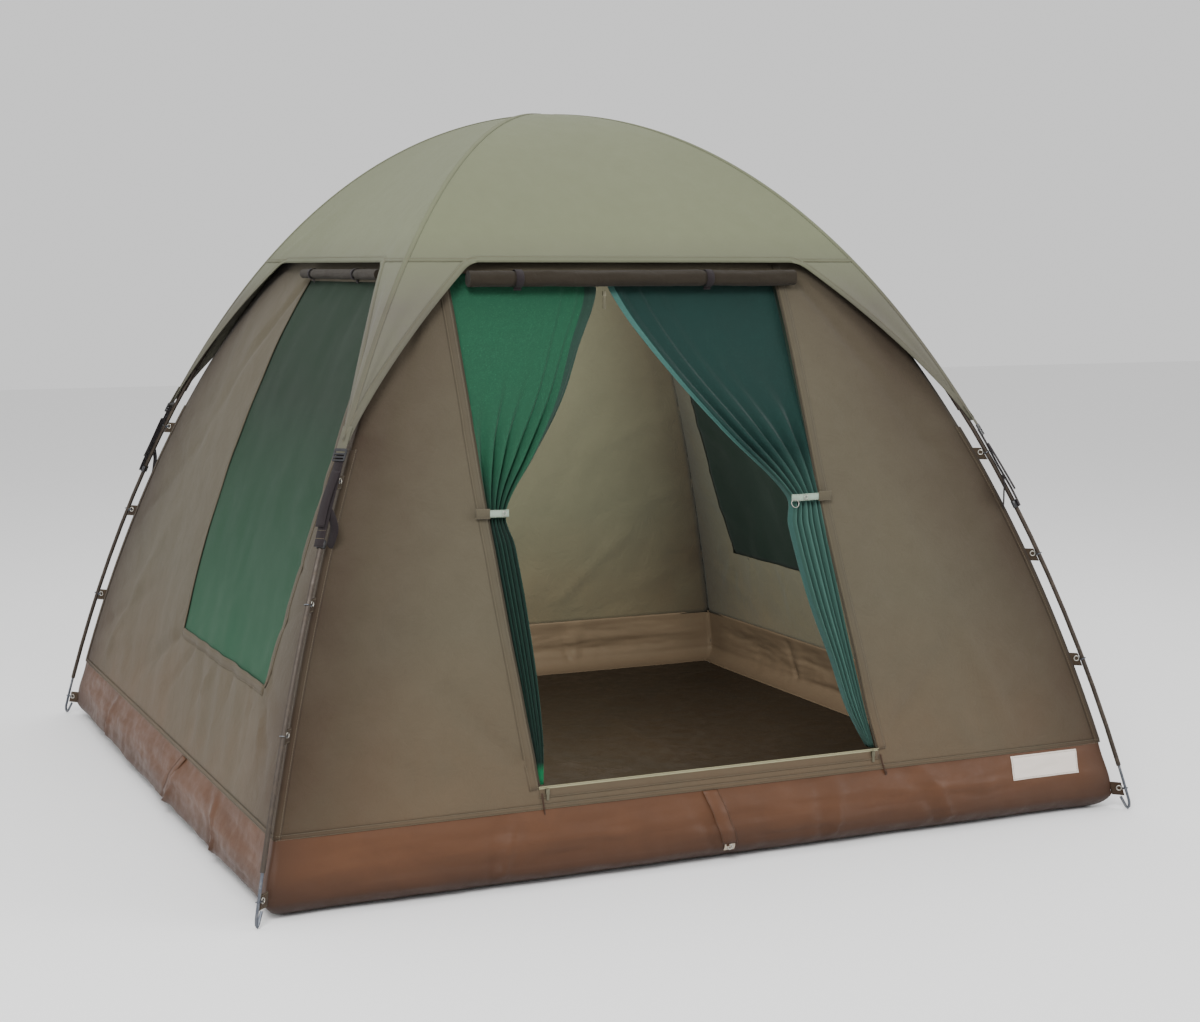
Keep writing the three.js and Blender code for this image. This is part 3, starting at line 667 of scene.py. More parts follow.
# ---- the skin as a surface ----
class Profile:
    """The bow moved out by a fixed distance: its half width at any height."""

    def __init__(self, out):
        rows = [bow(t, out) for t in spread(0.0, 1.0, 900)]
        self.heights = [z for _, z, _ in rows]
        self.halves = [h for h, _, _ in rows]
        self.facing = [max(normal[0], 0.12) for _, _, normal in rows]

    def half(self, z, out=0.0):
        i = min(max(bisect.bisect(self.heights, z) - 1, 0), len(self.heights) - 2)
        u = clamp((z - self.heights[i]) / (self.heights[i + 1] - self.heights[i]))
        return mix(self.halves[i], self.halves[i + 1], u) + out / mix(self.facing[i], self.facing[i + 1], u)


WALL = Profile(WALL_OUT)
FLY = Profile(FLY_OUT)
SEAM_HALF = WALL.half(BUCKET_TOP)


def tent_half(z, out=0.0):
    if z >= BUCKET_TOP:
        return WALL.half(z, out)
    return mix(FLOOR_HALF, SEAM_HALF, z / BUCKET_TOP) + out


def wall_point(side, s, z, out=0.0):
    return turned((s, -tent_half(z, out), z), side)


def corner_taper(s, half):
    return 1 - clamp(abs(s) / max(half, 0.01)) ** 6


def wall_relief(side, s, z):
    """How far the canvas stands off its true face: slack between the corners, drawn creases near the ends."""
    seed = 3.1 + 7.7 * side
    half = tent_half(z)
    out = relief(s, z, seed, 0.014, 0.0050)
    low = smooth((0.62 - z) / 0.42)
    out += (0.0030 + 0.0050 * low) * noise.noise(Vector((s * 13 + z * 4, z * 2.6, seed + 1.7)))
    for height in TAB_HEIGHTS[1:]:
        for sign in (-1, 1):
            root = sign * half * 0.985
            out += fold(s, z, (root, height), (root - sign * 0.42, height - 0.16), 0.018, -0.0085)
            out += fold(s, z, (root, height), (root - sign * 0.36, height + 0.13), 0.016, -0.0065)
    across = clamp(abs(s) / max(half, 0.01))
    out -= 0.007 * math.sin(math.pi * clamp((z - BUCKET_TOP) / 1.5)) * (1 - across**2)
    for start, end, width, depth in WALL_CREASES[side % 2]:
        out += fold(s, z, start, end, width, depth)
    if side == 0:
        out *= 1 - smooth((0.76 - abs(s)) / 0.18) * (1 - smooth((z - SILL_TOP - 0.004) / 0.10))
    return out * corner_taper(s, half) * smooth((z - BUCKET_TOP) / 0.08) * smooth((1.80 - z) / 0.2)


WALL_CREASES = (
    (
        ((-0.60, 1.50), (-0.95, 0.75), 0.022, -0.0128),
        ((0.47, 1.50), (0.92, 0.80), 0.022, -0.0128),
        ((-0.52, 0.26), (-0.86, 0.62), 0.020, -0.0144),
        ((0.48, 0.25), (0.80, 0.55), 0.020, -0.0144),
        ((0.90, 0.24), (0.62, 0.90), 0.026, 0.0096),
        ((-1.08, 0.30), (-0.70, 0.95), 0.026, 0.0096),
    ),
    (
        ((-0.07, 0.46), (-0.55, 0.24), 0.024, -0.0144),
        ((0.84, 0.46), (1.05, 0.26), 0.020, -0.0128),
        ((-0.24, 1.49), (-0.60, 0.90), 0.026, -0.0128),
        ((-0.90, 0.24), (-0.45, 0.85), 0.028, 0.0096),
        ((0.12, 0.46), (-0.16, 0.24), 0.017, -0.0100),
        ((0.36, 0.46), (0.20, 0.24), 0.016, 0.0090),
        ((0.52, 0.46), (0.50, 0.24), 0.014, -0.0090),
        ((0.72, 0.47), (0.80, 0.24), 0.015, -0.0110),
        ((0.84, 0.52), (0.93, 0.25), 0.014, 0.0090),
        ((-1.12, 0.30), (-0.30, 0.62), 0.024, -0.0120),
        ((-1.10, 0.27), (-0.42, 0.40), 0.020, 0.0100),
        ((-1.04, 0.62), (-0.48, 1.02), 0.022, -0.0100),
    ),
)


def cloth_wall_point(side, s, z, lift=0.0):
    return wall_point(side, s, z, wall_relief(side, s, z) + lift)


def wall_columns(z, left, right, top, counts):
    """Across a wall at one height: corner to opening, over the opening, opening to the other corner."""
    half = tent_half(z)
    scale = 1.0 if z <= top else half / tent_half(top)
    a, b = left(min(z, top)) * scale, right(min(z, top)) * scale
    return spread(-half, a, counts[0])[:-1] + spread(a, b, counts[1])[:-1] + spread(b, half, counts[2])


def canvas_wall(name, side, left, right, bottom, top, counts, nodes, cut=True):
    """One wall from the bucket seam to the peak, with its door or window cut out."""
    low = BUCKET_TOP - 0.004
    heights = spread(low, bottom, max(3, round((bottom - low) / WALL_STEP)))[:-1]
    heights += spread(bottom, top, round((top - bottom) / WALL_STEP))
    first = len(heights)
    rows, uv_rows = [], []
    for z in heights:
        across = wall_columns(z, left, right, top, counts)
        rows.append([cloth_wall_point(side, s, z) for s in across])
        uv_rows.append([(s, z) for s in across])
    start = bow_at(top, WALL_OUT)
    for t in spread(start, 1.0, 26)[1:]:
        half, z, _ = bow(t, WALL_OUT)
        ends = wall_columns(top, left, right, top, counts)
        across = [s * half / tent_half(top) for s in ends]
        lift = -0.3 * abs(wall_relief(side, 0.3 * half, z))
        rows.append([turned((s, -half, z + lift * (1 - (s / max(half, 1e-6)) ** 2)), side) for s in across])
        uv_rows.append([(s, 2.2 * t) for s in across])
    bottom_row = round((bottom - low) / WALL_STEP) if bottom - low > 0.05 else 3
    opening = range(bottom_row, first - 1)
    gap = range(counts[0], counts[0] + counts[1])
    patch = Patch()
    patch.grid(rows, uv_rows, lambda i, j: not (cut and i in opening and j in gap))
    weld(cloth_piece(name, patch, M["wall"], "canvas", "wall_canvas", *nodes))


def weld(made):
    work = bmesh.new()
    work.from_mesh(made.data)
    bmesh.ops.remove_doubles(work, verts=work.verts, dist=0.00002)
    work.to_mesh(made.data)
    work.free()
    made.data.validate()


def along_outline(outline, step):
    """Evenly spaced points along a list of corners."""
    path = []
    for (x0, z0), (x1, z1) in zip(outline, outline[1:]):
        count = max(1, round(math.hypot(x1 - x0, z1 - z0) / step))
        path += [(mix(x0, x1, i / count), mix(z0, z1, i / count)) for i in range(count)]
    return path + [outline[-1]]


def left_of(path, i):
    """The unit direction to the left of a path of (s, z), at one of its points."""
    before, after = path[max(i - 1, 0)], path[min(i + 1, len(path) - 1)]
    ds, dz = after[0] - before[0], after[1] - before[1]
    length = math.hypot(ds, dz) or 1.0
    return -dz / length, ds / length


def band(patch, surface, path, width, thickness, lift=0.0006, shift=0.0):
    """A flat band sewn to a surface along a path of (s, z); shift moves it to the path's left."""
    rows, uv_rows, travelled = [], [], 0.0
    half, inner = width / 2, width / 2 * 0.94
    section = ((-half, 0), (-inner, 1), (0, 1), (inner, 1), (half, 0), (0, -0.4))
    for i, (s, z) in enumerate(path):
        ns, nz = left_of(path, i)
        if i:
            travelled += math.hypot(s - path[i - 1][0], z - path[i - 1][1])
        ring = []
        for across, height in section:
            reach = across + shift
            ring.append(surface(s + ns * reach, z + nz * reach, lift + height * thickness))
        rows.append(ring)
        uv_rows.append([(across, travelled) for across, _ in section])
    patch.ring(rows, uv_rows)


def offset_line(surface, path, shift, lift):
    """Points on a surface beside a path, for a row of stitches."""
    line = []
    for i, (s, z) in enumerate(path):
        ns, nz = left_of(path, i)
        line.append(surface(s + ns * shift, z + nz * shift, lift))
    return line


def on_wall(side):
    return lambda s, z, lift: cloth_wall_point(side, s, z, lift)


# ---- repeated small parts ----
def repeat_group():
    """A short rod set along every line at an even pitch: stitches, zip teeth and the like."""
    group = bpy.data.node_groups.new("repeat_along_lines", "GeometryNodeTree")
    face = group.interface
    face.new_socket("Geometry", in_out="INPUT", socket_type="NodeSocketGeometry")
    for name in ("Pitch", "Length", "Radius"):
        face.new_socket(name, in_out="INPUT", socket_type="NodeSocketFloat")
    face.new_socket("Material", in_out="INPUT", socket_type="NodeSocketMaterial")
    face.new_socket("Geometry", in_out="OUTPUT", socket_type="NodeSocketGeometry")
    enter, leave = group.nodes.new("NodeGroupInput"), group.nodes.new("NodeGroupOutput")
    curve = group.nodes.new("GeometryNodeMeshToCurve")
    points = group.nodes.new("GeometryNodeCurveToPoints")
    points.mode = "LENGTH"
    rod = group.nodes.new("GeometryNodeMeshCylinder")
    rod.inputs["Vertices"].default_value = 5
    align = group.nodes.new("FunctionNodeAlignRotationToVector")
    align.axis = "Z"
    place = group.nodes.new("GeometryNodeInstanceOnPoints")
    realize = group.nodes.new("GeometryNodeRealizeInstances")
    paint = group.nodes.new("GeometryNodeSetMaterial")
    for a, b in (
        (enter.outputs["Geometry"], curve.inputs["Mesh"]),
        (curve.outputs["Curve"], points.inputs["Curve"]),
        (enter.outputs["Pitch"], points.inputs["Length"]),
        (enter.outputs["Length"], rod.inputs["Depth"]),
        (enter.outputs["Radius"], rod.inputs["Radius"]),
        (points.outputs["Points"], place.inputs["Points"]),
        (points.outputs["Tangent"], align.inputs["Vector"]),
        (align.outputs["Rotation"], place.inputs["Rotation"]),
        (rod.outputs["Mesh"], place.inputs["Instance"]),
        (place.outputs["Instances"], realize.inputs["Geometry"]),
        (realize.outputs["Geometry"], paint.inputs["Geometry"]),
        (enter.outputs["Material"], paint.inputs["Material"]),
        (paint.outputs["Geometry"], leave.inputs["Geometry"]),
    ):
        group.links.new(a, b)
    return group


REPEAT = repeat_group()


def repeated(name, lines, pitch, length, radius, material, body="tent", slot=None):
    points, edges = [], []
    for line in lines:
        edges += [(len(points) + i, len(points) + i + 1) for i in range(len(line) - 1)]
        points += [tuple(p) for p in line]
    guide = bpy.data.meshes.new(name + "_lines")
    guide.from_pydata(points, edges, [])
    holder = bpy.data.objects.new(name + "_lines", guide)
    bpy.context.scene.collection.objects.link(holder)
    modifier = holder.modifiers.new("repeat", "NODES")
    modifier.node_group = REPEAT
    sockets = {s.name: s.identifier for s in REPEAT.interface.items_tree if s.in_out == "INPUT"}
    for key, value in (("Pitch", pitch), ("Length", length), ("Radius", radius), ("Material", material)):
        modifier[sockets[key]] = value
    bpy.context.view_layer.update()
    graph = bpy.context.evaluated_depsgraph_get()
    data = bpy.data.meshes.new_from_object(holder.evaluated_get(graph), depsgraph=graph)
    data.name = name
    bpy.data.objects.remove(holder)
    bpy.data.meshes.remove(guide)
    made = bpy.data.objects.new(name, data)
    bpy.context.scene.collection.objects.link(made)
    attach(made, body)
    return made


STITCH = {"pitch": 0.0062, "length": 0.0042, "radius": 0.00045}
WEB_STITCH = {"pitch": 0.004, "length": 0.003, "radius": 0.0005}


# ---- walls ----
WINDOW_LOW, WINDOW_HIGH = 0.475, 1.470
WINDOW_LEFT = ((WINDOW_LOW, -0.060), (WINDOW_HIGH, -0.225))
WINDOW_RIGHT = ((WINDOW_LOW, 0.832), (0.700, 0.830), (1.020, 0.775), (1.270, 0.675), (WINDOW_HIGH, 0.545))


def window_left(z):
    return through(WINDOW_LEFT, z)


def window_right(z):
    return through(WINDOW_RIGHT, z)


def window_outline():
    up = [(window_right(z), z) for z in spread(WINDOW_LOW, WINDOW_HIGH, 40)]
    down = [(window_left(z), z) for z in spread(WINDOW_HIGH, WINDOW_LOW, 40)]
    head = along_outline([up[-1], down[0]], 0.02)
    foot = along_outline([down[-1], up[0]], 0.02)
    return up + head[1:-1] + down + foot[1:]


DOOR_HEAD = DOOR_TOP - 0.024  # the canvas over the door comes down behind the rolled flap


def make_walls():
    canvas_wall(
        "canvas_front", 0, lambda z: jamb(JAMB_LEFT, z), lambda z: jamb(JAMB_RIGHT, z), SILL_TOP, DOOR_HEAD,
        (30, 40, 32), ("front_wall_left", "front_wall_right", "front_roof", "door_sill_band"),
    )
    window = (window_left, window_right, WINDOW_LOW, WINDOW_HIGH, (44, 40, 22))
    canvas_wall("canvas_right", 1, *window, ("right_wall",))
    canvas_wall(
        "canvas_back", 2, lambda z: -0.4, lambda z: 0.4, 0.3, 1.5, (30, 34, 30), ("back_wall",), cut=False
    )
    canvas_wall("canvas_left", 3, *window, ("left_wall",))


def make_wall_bands():
    """Hems round the door and windows, and the seam that joins the walls to the bucket."""
    bands, lines = Patch(), []
    for side in range(4):
        half = SEAM_HALF - 0.004
        path = [(s, BUCKET_TOP - 0.001) for s in spread(-half, half, 110)]
        band(bands, lambda s, z, lift, k=side: wall_point(k, s, z, lift), path, *BANDS["seam"], 0.0008)
        for rise in (-0.0055, 0.0045):
            lines.append([wall_point(side, s, BUCKET_TOP + rise, 0.0031) for s, _ in path])
    for side in (1, 3):
        outline = window_outline()
        band(bands, on_wall(side), outline, *BANDS["window_hem"], 0.0002, -0.009)
        for shift in (-0.0015, -0.0185):
            lines.append(offset_line(on_wall(side), outline, shift, 0.0018))
    front = on_wall(0)
    for edge, shift in ((JAMB_LEFT, 0.013), (JAMB_RIGHT, -0.013)):
        path = [(jamb(edge, z), z) for z in spread(SILL_TOP, DOOR_TOP - 0.004, 80)]
        band(bands, front, path, *BANDS["jamb_hem"], 0.0002, shift)
        lines += [offset_line(front, path, shift * k, 0.0019) for k in (0.35, 1.7)]
    path = [(s, SILL_TOP - 0.012) for s in spread(jamb(JAMB_LEFT, SILL_TOP), jamb(JAMB_RIGHT, SILL_TOP), 70)]
    band(bands, front, path, *BANDS["sill_hem"], 0.0002)
    lines.append(offset_line(front, path, -0.008, 0.0018))
    bands.made("canvas_hems", M["hem"], slot="wall_canvas")
    repeated("canvas_stitching", lines, material=M["thread"], slot="wall_canvas", **STITCH)


# ---- flysheet ----
LEG_TIP_WIDTH = 0.0145
LEG_ROOT_WIDTH = 0.185
LIP_CORNER = 0.020  # radius of the lip where it runs into a leg


def leg_width(z):
    rise = clamp((z - LEG_TIP) / (FLY_LIP - LEG_TIP))
    round_off = 1 - math.sqrt(max(0.0, 1 - clamp((z - FLY_LIP + LIP_CORNER) / LIP_CORNER) ** 2))
    return mix(LEG_TIP_WIDTH, LEG_ROOT_WIDTH, rise**1.3) + LIP_CORNER * round_off


def fly_relief(side, s, z):
    """The flysheet sags between the poles, flutters at its lip and is drawn into folds by its legs."""
    half = FLY.half(z)
    u = clamp(abs(s) / max(half, 0.01))
    out = -0.013 * (1 - u * u) * smooth((half - 0.10) / 0.35)
    out += relief(s, z, 41.0 + 9 * side, 0.004, 0.0011) * (1 - u**6)
    lip = smooth(1 - (z - FLY_LIP) / 0.10)
    out += 0.0025 * lip * math.sin(s * 21 + side) * (1 - u**4)
    for sign in (-1, 1):
        out += 0.0030 * fold(s, z, (sign * 0.62, FLY_LIP - 0.03), (sign * 0.12, FLY_LIP + 0.30), 0.020, 1.0)
    if z < FLY_LIP:
        v = clamp((half - abs(s)) / leg_width(z))
        rise = clamp((z - LEG_TIP) / (FLY_LIP - LEG_TIP))
        out = out * 0.4 + 0.0045 * math.sin(v * 8.5 + side * 1.7) * 4 * v * (1 - v) * math.sin(math.pi * rise)
    return out


def cloth_fly_point(side, s, z, lift=0.0):
    out = fly_relief(side, s, z) + lift
    return turned((s, -FLY.half(z, out), z), side)


def fly_columns(half, width, legs, middle):
    """Across a flysheet panel: the strip above one leg, the middle, the strip above the other leg."""
    across = spread(-half, -half + width, legs)[:-1]
    across += spread(-half + width, half - width, middle)[:-1]
    return across + spread(half - width, half, legs)


def make_flysheet():
    patch = Patch()
    legs, middle = 12, 56
    heights = [LEG_TIP + (FLY_LIP - LIP_CORNER - LEG_TIP) * u for u in spread(0.0, 1.0, 26)[:-1]]
    heights += [FLY_LIP - LIP_CORNER * math.cos(a) for a in spread(0.0, math.pi / 2, 9)]
    root = len(heights) - 1
    start = bow_at(FLY_LIP, FLY_OUT)
    share = leg_width(FLY_LIP) / FLY.half(FLY_LIP)
    for side in range(4):
        rows, uv_rows = [], []
        for z in heights:
            across = fly_columns(FLY.half(z), leg_width(z), legs, middle)
            rows.append([cloth_fly_point(side, s, z) for s in across])
            uv_rows.append([(s, z) for s in across])
        for t in [start + (1 - start) * u for u in spread(0.0, 1.0, 46)[1:]]:
            half, z, normal = bow(t, FLY_OUT)
            across = fly_columns(half, share * half, legs, middle)
            row = []
            for s in across:
                out = fly_relief(side, s, z)
                row.append(turned((s, -(half + out * normal[0]), z + out * normal[1]), side))
            rows.append(row)
            uv_rows.append([(s, FLY_LIP + (t - start) * 1.5) for s in across])
        patch.grid(rows, uv_rows, lambda i, j: i >= root or j < legs or j >= legs + middle)
    nodes = [f"fly_{side}_panel" for side in SIDES] + [f"fly_leg_{corner}" for corner in CORNERS]
    made = cloth_piece("flysheet", patch, M["fly"], "flysheet", "fly_canvas", *nodes)
    weld(made)
    return made


LEG_TAB = (  # (height, lift) down the tab sewn to a leg's tip
    (1.112, 0.0010), (1.095, 0.0014), (1.080, 0.0020), (1.066, 0.0026), (1.055, 0.0030), (1.047, 0.0014),
)


def fly_edge(side):
    """The flysheet's free edge on one side, from one leg tip over the lip to the other."""
    heights = spread(LEG_TIP, FLY_LIP - LIP_CORNER, 30)[:-1]
    heights += [FLY_LIP - LIP_CORNER * math.cos(a) for a in spread(0.0, math.pi / 2, 9)]
    rise = [(-FLY.half(z) + leg_width(z), z) for z in heights]
    top = rise[-1][0]
    lip = [(s, FLY_LIP) for s in spread(top, -top, 60)[1:-1]]
    return rise + lip + [(-s, z) for s, z in reversed(rise)]


def make_fly_trim():
    """The turned hem round the flysheet, its felled corner seams and their stitching."""
    hem, seams, lines = Patch(), Patch(), []
    for side in range(4):
        surface = lambda s, z, lift, k=side: cloth_fly_point(k, s, z, lift)
        path = fly_edge(side)
        band(hem, surface, path, *BANDS["fly_hem"], 0.0002, 0.0085)
        lines.append(offset_line(surface, path, 0.0145, 0.0019))
        rows, uv_rows = [], []
        for t in spread(bow_at(LEG_TIP + 0.012, FLY_OUT), 0.984, 110):
            half, z, normal = bow(t, FLY_OUT + 0.0009)
            ring = []
            for reach, lift in ((0.012, -0.0004), (0.0105, 0.0006), (0.0, 0.0012)):
                out = fly_relief(side, half - reach, z) + lift
                ring.append(turned((half - reach, -(half + out * normal[0]), z + out * normal[1]), side))
            for reach, lift in ((0.0105, 0.0006), (0.012, -0.0004)):
                out = fly_relief((side + 1) % 4, -half + reach, z) + lift
                ring.append(turned((-half + reach, -(half + out * normal[0]), z + out * normal[1]), side + 1))
            ring.append(turned((half - 0.001, -half + 0.001, z - 0.0012), side))
            rows.append(ring)
            uv_rows.append([(x, t * 2.0) for x in (-0.012, -0.0105, 0, 0.0105, 0.012, 0)])
        seams.ring(rows, uv_rows)
        lines += [[mix(row[k], row[2], 0.25) for row in rows] for k in (1, 3)]
        for sign in (-1, 1):
            half, root = FLY.half(FLY_LIP), leg_width(FLY_LIP)
            path = [(sign * s, FLY_LIP + 0.006) for s in spread(half - root + 0.002, half - 0.012, 22)]
            band(hem, surface, path if sign > 0 else path[::-1], *BANDS["fly_patch"], 0.0002)
            lines += [offset_line(surface, path, shift, 0.0015) for shift in (-0.0035, 0.0035)]
    for corner in CORNERS.values():
        level, up, out = diagonal_axes(bow_at(LEG_TIP), corner)
        path = [diagonal_point(bow_at(z), 0.0125 + lift, 0, corner) for z, lift in LEG_TAB]
        hem.strip(path, level, out, *WEBS["leg_tab"])
    hem_piece = hem.made("flysheet_hem", M["fly_hem"], slot="fly_canvas")
    seam_piece = seams.made("flysheet_corner_seams", M["fly_hem"], slot="fly_canvas")
    thread = repeated("flysheet_stitching", lines, material=M["thread"], slot="fly_canvas", **STITCH)
    return [hem_piece, seam_piece, thread]


# ---- bucket and groundsheet ----
def square_path(half, radius, step=0.012):
    """Round a square: (x, y, side, s) with rounded corners, starting at the front left."""
    path = []
    for side in range(4):
        count = round(2 * (half - radius) / step)
        for i in range(count):
            s = mix(-half + radius, half - radius, i / count)
            path.append((turned((s, -half, 0), side), side, s))
        for i in range(8):
            angle = -math.pi / 2 + (math.pi / 2) * i / 8
            point = (half - radius + radius * math.cos(angle), -half + radius + radius * math.sin(angle), 0)
            path.append((turned(point, side), side, half - radius + radius * math.cos(angle)))
    return path


def bucket_relief(side, s, rise):
    """Slack folds of the tub wall: pegged points pull it into fans, and it puckers along its foot."""
    seed = 60.0 + 5 * side
    out = relief(s * 1.3, rise * 2, seed, 0.009, 0.003) * (0.3 + math.sin(math.pi * rise))
    out += 0.023 * math.sin(math.pi * rise**0.75)
    out += 0.0035 * (1 - rise) * noise.noise(Vector((s * 26, seed, 0.4))) * smooth(rise / 0.08)
    z = rise * BUCKET_TOP
    for place, lean in BUCKET_FOLDS[side]:
        top = place + lean
        out += fold(s, z, (place, 0.03), (top, BUCKET_TOP), 0.014, 0.011)
        out -= fold(s, z, (place - 0.03, 0.03), (top - 0.07, BUCKET_TOP), 0.018, 0.007)
    return out * smooth((1 - rise) / 0.12)


BUCKET_FOLDS = (
    ((-0.007, -0.040), (-0.62, 0.05), (0.66, -0.06), (0.30, 0.03)),
    ((-0.05, 0.06), (-0.70, -0.05), (0.55, 0.05)),
    ((0.0, 0.05), (-0.60, 0.04), (0.62, -0.05)),
    ((0.17, 0.13), (-0.66, 0.05), (0.70, -0.04)),
)


def corner_pull(s, z):
    """How far the pegged corner tabs draw the tub's corners out, sideways and endways alike."""
    near = smooth((abs(s) - FLOOR_HALF + 0.17) / 0.17)
    return 0.017 * near * math.exp(-(((z - 0.070) / 0.080) ** 2))


def make_bucket():
    patch = Patch()
    foot = 0.052
    rows, uv_rows = [], []
    levels = [(a, 0) for a in spread(0.0, math.pi / 2, 9)[:-1]] + [(None, u) for u in spread(0.0, 1.0, 20)]
    for angle, u in levels:
        row, uv_row = [], []
        for point, side, s in square_path(FLOOR_HALF, 0.010):
            if angle is not None:
                z = foot * (1 - math.cos(angle)) + 0.0006
                inset = foot * (1 - math.sin(angle))
            else:
                z = mix(foot, BUCKET_TOP + 0.002, u)
                inset = (FLOOR_HALF - tent_half(z)) + (0.001 if u == 1 else 0.0)
            rise = clamp(z / BUCKET_TOP)
            out = bucket_relief(side, s, rise)
            scale = (FLOOR_HALF - inset + out * corner_taper(s, FLOOR_HALF)) / FLOOR_HALF
            pull = corner_pull(min(abs(point[0]), abs(point[1])), z)
            pulled = [c * scale + math.copysign(pull, c) for c in point[:2]]
            row.append((pulled[0], pulled[1], z))
            uv_row.append((s, z))
        rows.append(row)
        uv_rows.append(uv_row)
    patch.grid(rows, uv_rows, closed=True)
    made = piece("bucket_tub", patch.points, patch.faces, M["bucket"], "tent", patch.uv)
    made.data.materials.append(M["bucket_inside"])
    thicken(made, "tub").material_offset = 1
    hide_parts("bucket_front", "bucket_right", "bucket_back", "bucket_left")


def make_groundsheet():
    half, count = FLOOR_HALF - 0.050, 150
    rows, uv_rows = [], []
    for y in spread(-half, half, count):
        row = []
        for x in spread(-half, half, count):
            edge = smooth((half - max(abs(x), abs(y))) / 0.10)
            ridge = abs(noise.noise(Vector((x * 2.6, y * 2.2, 8.8)))) ** 0.7
            small = abs(noise.noise(Vector((x * 8.5 + 3, y * 9.5, 1.7))))
            row.append((x, y, 0.0022 + edge * (0.009 * (1 - ridge) ** 3 + 0.004 * (1 - small) ** 4)))
        rows.append(row)
        uv_rows.append([(x, y) for x in spread(-half, half, count)])
    patch = Patch()
    patch.grid(rows, uv_rows)
    made = cloth_piece("floor_cloth", patch, M["floor"], "floor", "groundsheet_pvc", "groundsheet")


# ---- windows ----
def make_window(name, side, node, material):
    rows, uv_rows = [], []
    for z in spread(WINDOW_LOW - 0.012, WINDOW_HIGH + 0.012, 60):
        row, uv_row = [], []
        for s in spread(window_left(z) - 0.012, window_right(z) + 0.012, 44):
            slack = relief(s, z, 90.0 + side, 0.004, 0.0012)
            row.append(wall_point(side, s, z, wall_relief(side, s, z) * 0.8 - 0.0034 + min(slack, 0.001)))
            uv_row.append((s, z))
        rows.append(row)
        uv_rows.append(uv_row)
    patch = Patch()
    patch.grid(rows, uv_rows)
    cloth_piece(name, patch, material, "window", "window_mesh", node)


DOOR_ROLL_HEIGHT, DOOR_ROLL_OUT, DOOR_ROLL_RADIUS = 1.477, 0.0265, 0.0238
WINDOW_ROLL_HEIGHT, WINDOW_ROLL_OUT, WINDOW_ROLL_RADIUS = 1.487, 0.018, 0.0152


def rolled(name, side, start, end, z, out, radius, node):
    """A flap rolled up and held by its straps: a spiral bundle with drawn waists and soft wrinkles."""
    rows, uv_rows = [], []
    sides = 28
    count = round((end - start) / 0.008)
    straps = [mix(start, end, u) for u in ROLL_STRAPS]
    for i in range(count + 1):
        s = mix(start, end, i / count)
        ring, uv_ring = [], []
        waist = 1 - 0.16 * sum(math.exp(-(((s - place) / 0.014) ** 2)) for place in straps)
        for k in range(sides):
            angle = 2 * math.pi * k / sides
            lay = noise.noise(Vector((s * 7, math.cos(angle) * 1.6, math.sin(angle) * 1.6 + side * 3)))
            pull = noise.noise(Vector((s * 34, math.cos(angle) * 2.2, math.sin(angle) * 2.2 + 9)))
            seam = 0.10 * math.exp(-(((angle - 3.9) / 0.16) ** 2))
            reach = radius * waist * (0.90 + 0.10 * lay + 0.05 * pull + seam)
            height = z + reach * math.sin(angle)
            ring.append(wall_point(side, s, height, 0.0) + roll_shift(side, z, height, out, reach, angle))
            uv_ring.append((radius * angle, s))
        rows.append(ring)
        uv_rows.append(uv_ring)
    patch = Patch()
    patch.grid(rows, uv_rows, closed=True)
    for ring in (rows[0], rows[-1]):
        roll_end(patch, ring)
    made = patch.made(name, M["roll"], slot="wall_canvas")
    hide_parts(node)


ROLL_STRAPS = (0.143, 0.721)


def roll_shift(side, z, height, out, reach, angle):
    """From the wall at this height to the same height on the bundle."""
    centre, here = tent_half(z, out), tent_half(height)
    return turned((0, -(centre - here) - reach * math.cos(angle), 0), side)


def roll_end(patch, ring, turns=8):
    """The end of a roll: turns of cloth stepping inwards to the middle."""
    centre = sum((Vector(p) for p in ring), Vector()) / len(ring)
    shares = [1 - turn / (turns + 1) for turn in range(1, turns + 1)]
    rows = [ring] + [[centre + (p - centre) * share for p in ring] for share in shares]
    uv_rows = [[(0, 0)] * len(ring)] + [[(share, k) for k in range(len(ring))] for share in shares]
    last = len(patch.points) + turns * len(ring)
    patch.grid(rows, uv_rows, closed=True)
    patch.faces.append(tuple(range(last, last + len(ring))))


# ---- door ----
LEFT_EDGE = (
    (0.238, -0.492, 26), (0.358, -0.478, 34), (0.616, -0.480, 40), (0.810, -0.490, 40), (0.895, -0.503, 36),
    (1.037, -0.390, 24), (1.165, -0.296, 16), (1.303, -0.217, 11), (1.433, -0.135, 9), (1.500, -0.124, 9),
)
RIGHT_EDGE = (
    (0.238, 0.446, 26), (0.339, 0.402, 32), (0.462, 0.374, 36), (0.626, 0.336, 40), (0.818, 0.312, 40),
    (0.895, 0.318, 36), (1.064, 0.163, 24), (1.208, 0.044, 14), (1.350, -0.050, 10), (1.440, -0.090, 9),
    (1.500, -0.101, 9),
)
NET_CUT = 0.51  # each curtain's width before it was gathered
CURTAIN_BACK = 0.009


def pleat_length(width, waves, depth):
    turns = math.pi * waves * depth / width
    return sum(
        math.hypot(1.0, turns * 2 * math.cos(2 * math.pi * i / 24)) for i in range(24)
    ) / 24 * width


def pleat_depth(width, waves, limit):
    low, high = 0.0, limit
    for _ in range(16):
        middle = (low + high) / 2
        if pleat_length(width, waves, middle) < NET_CUT:
            low = middle
        else:
            high = middle
    return low


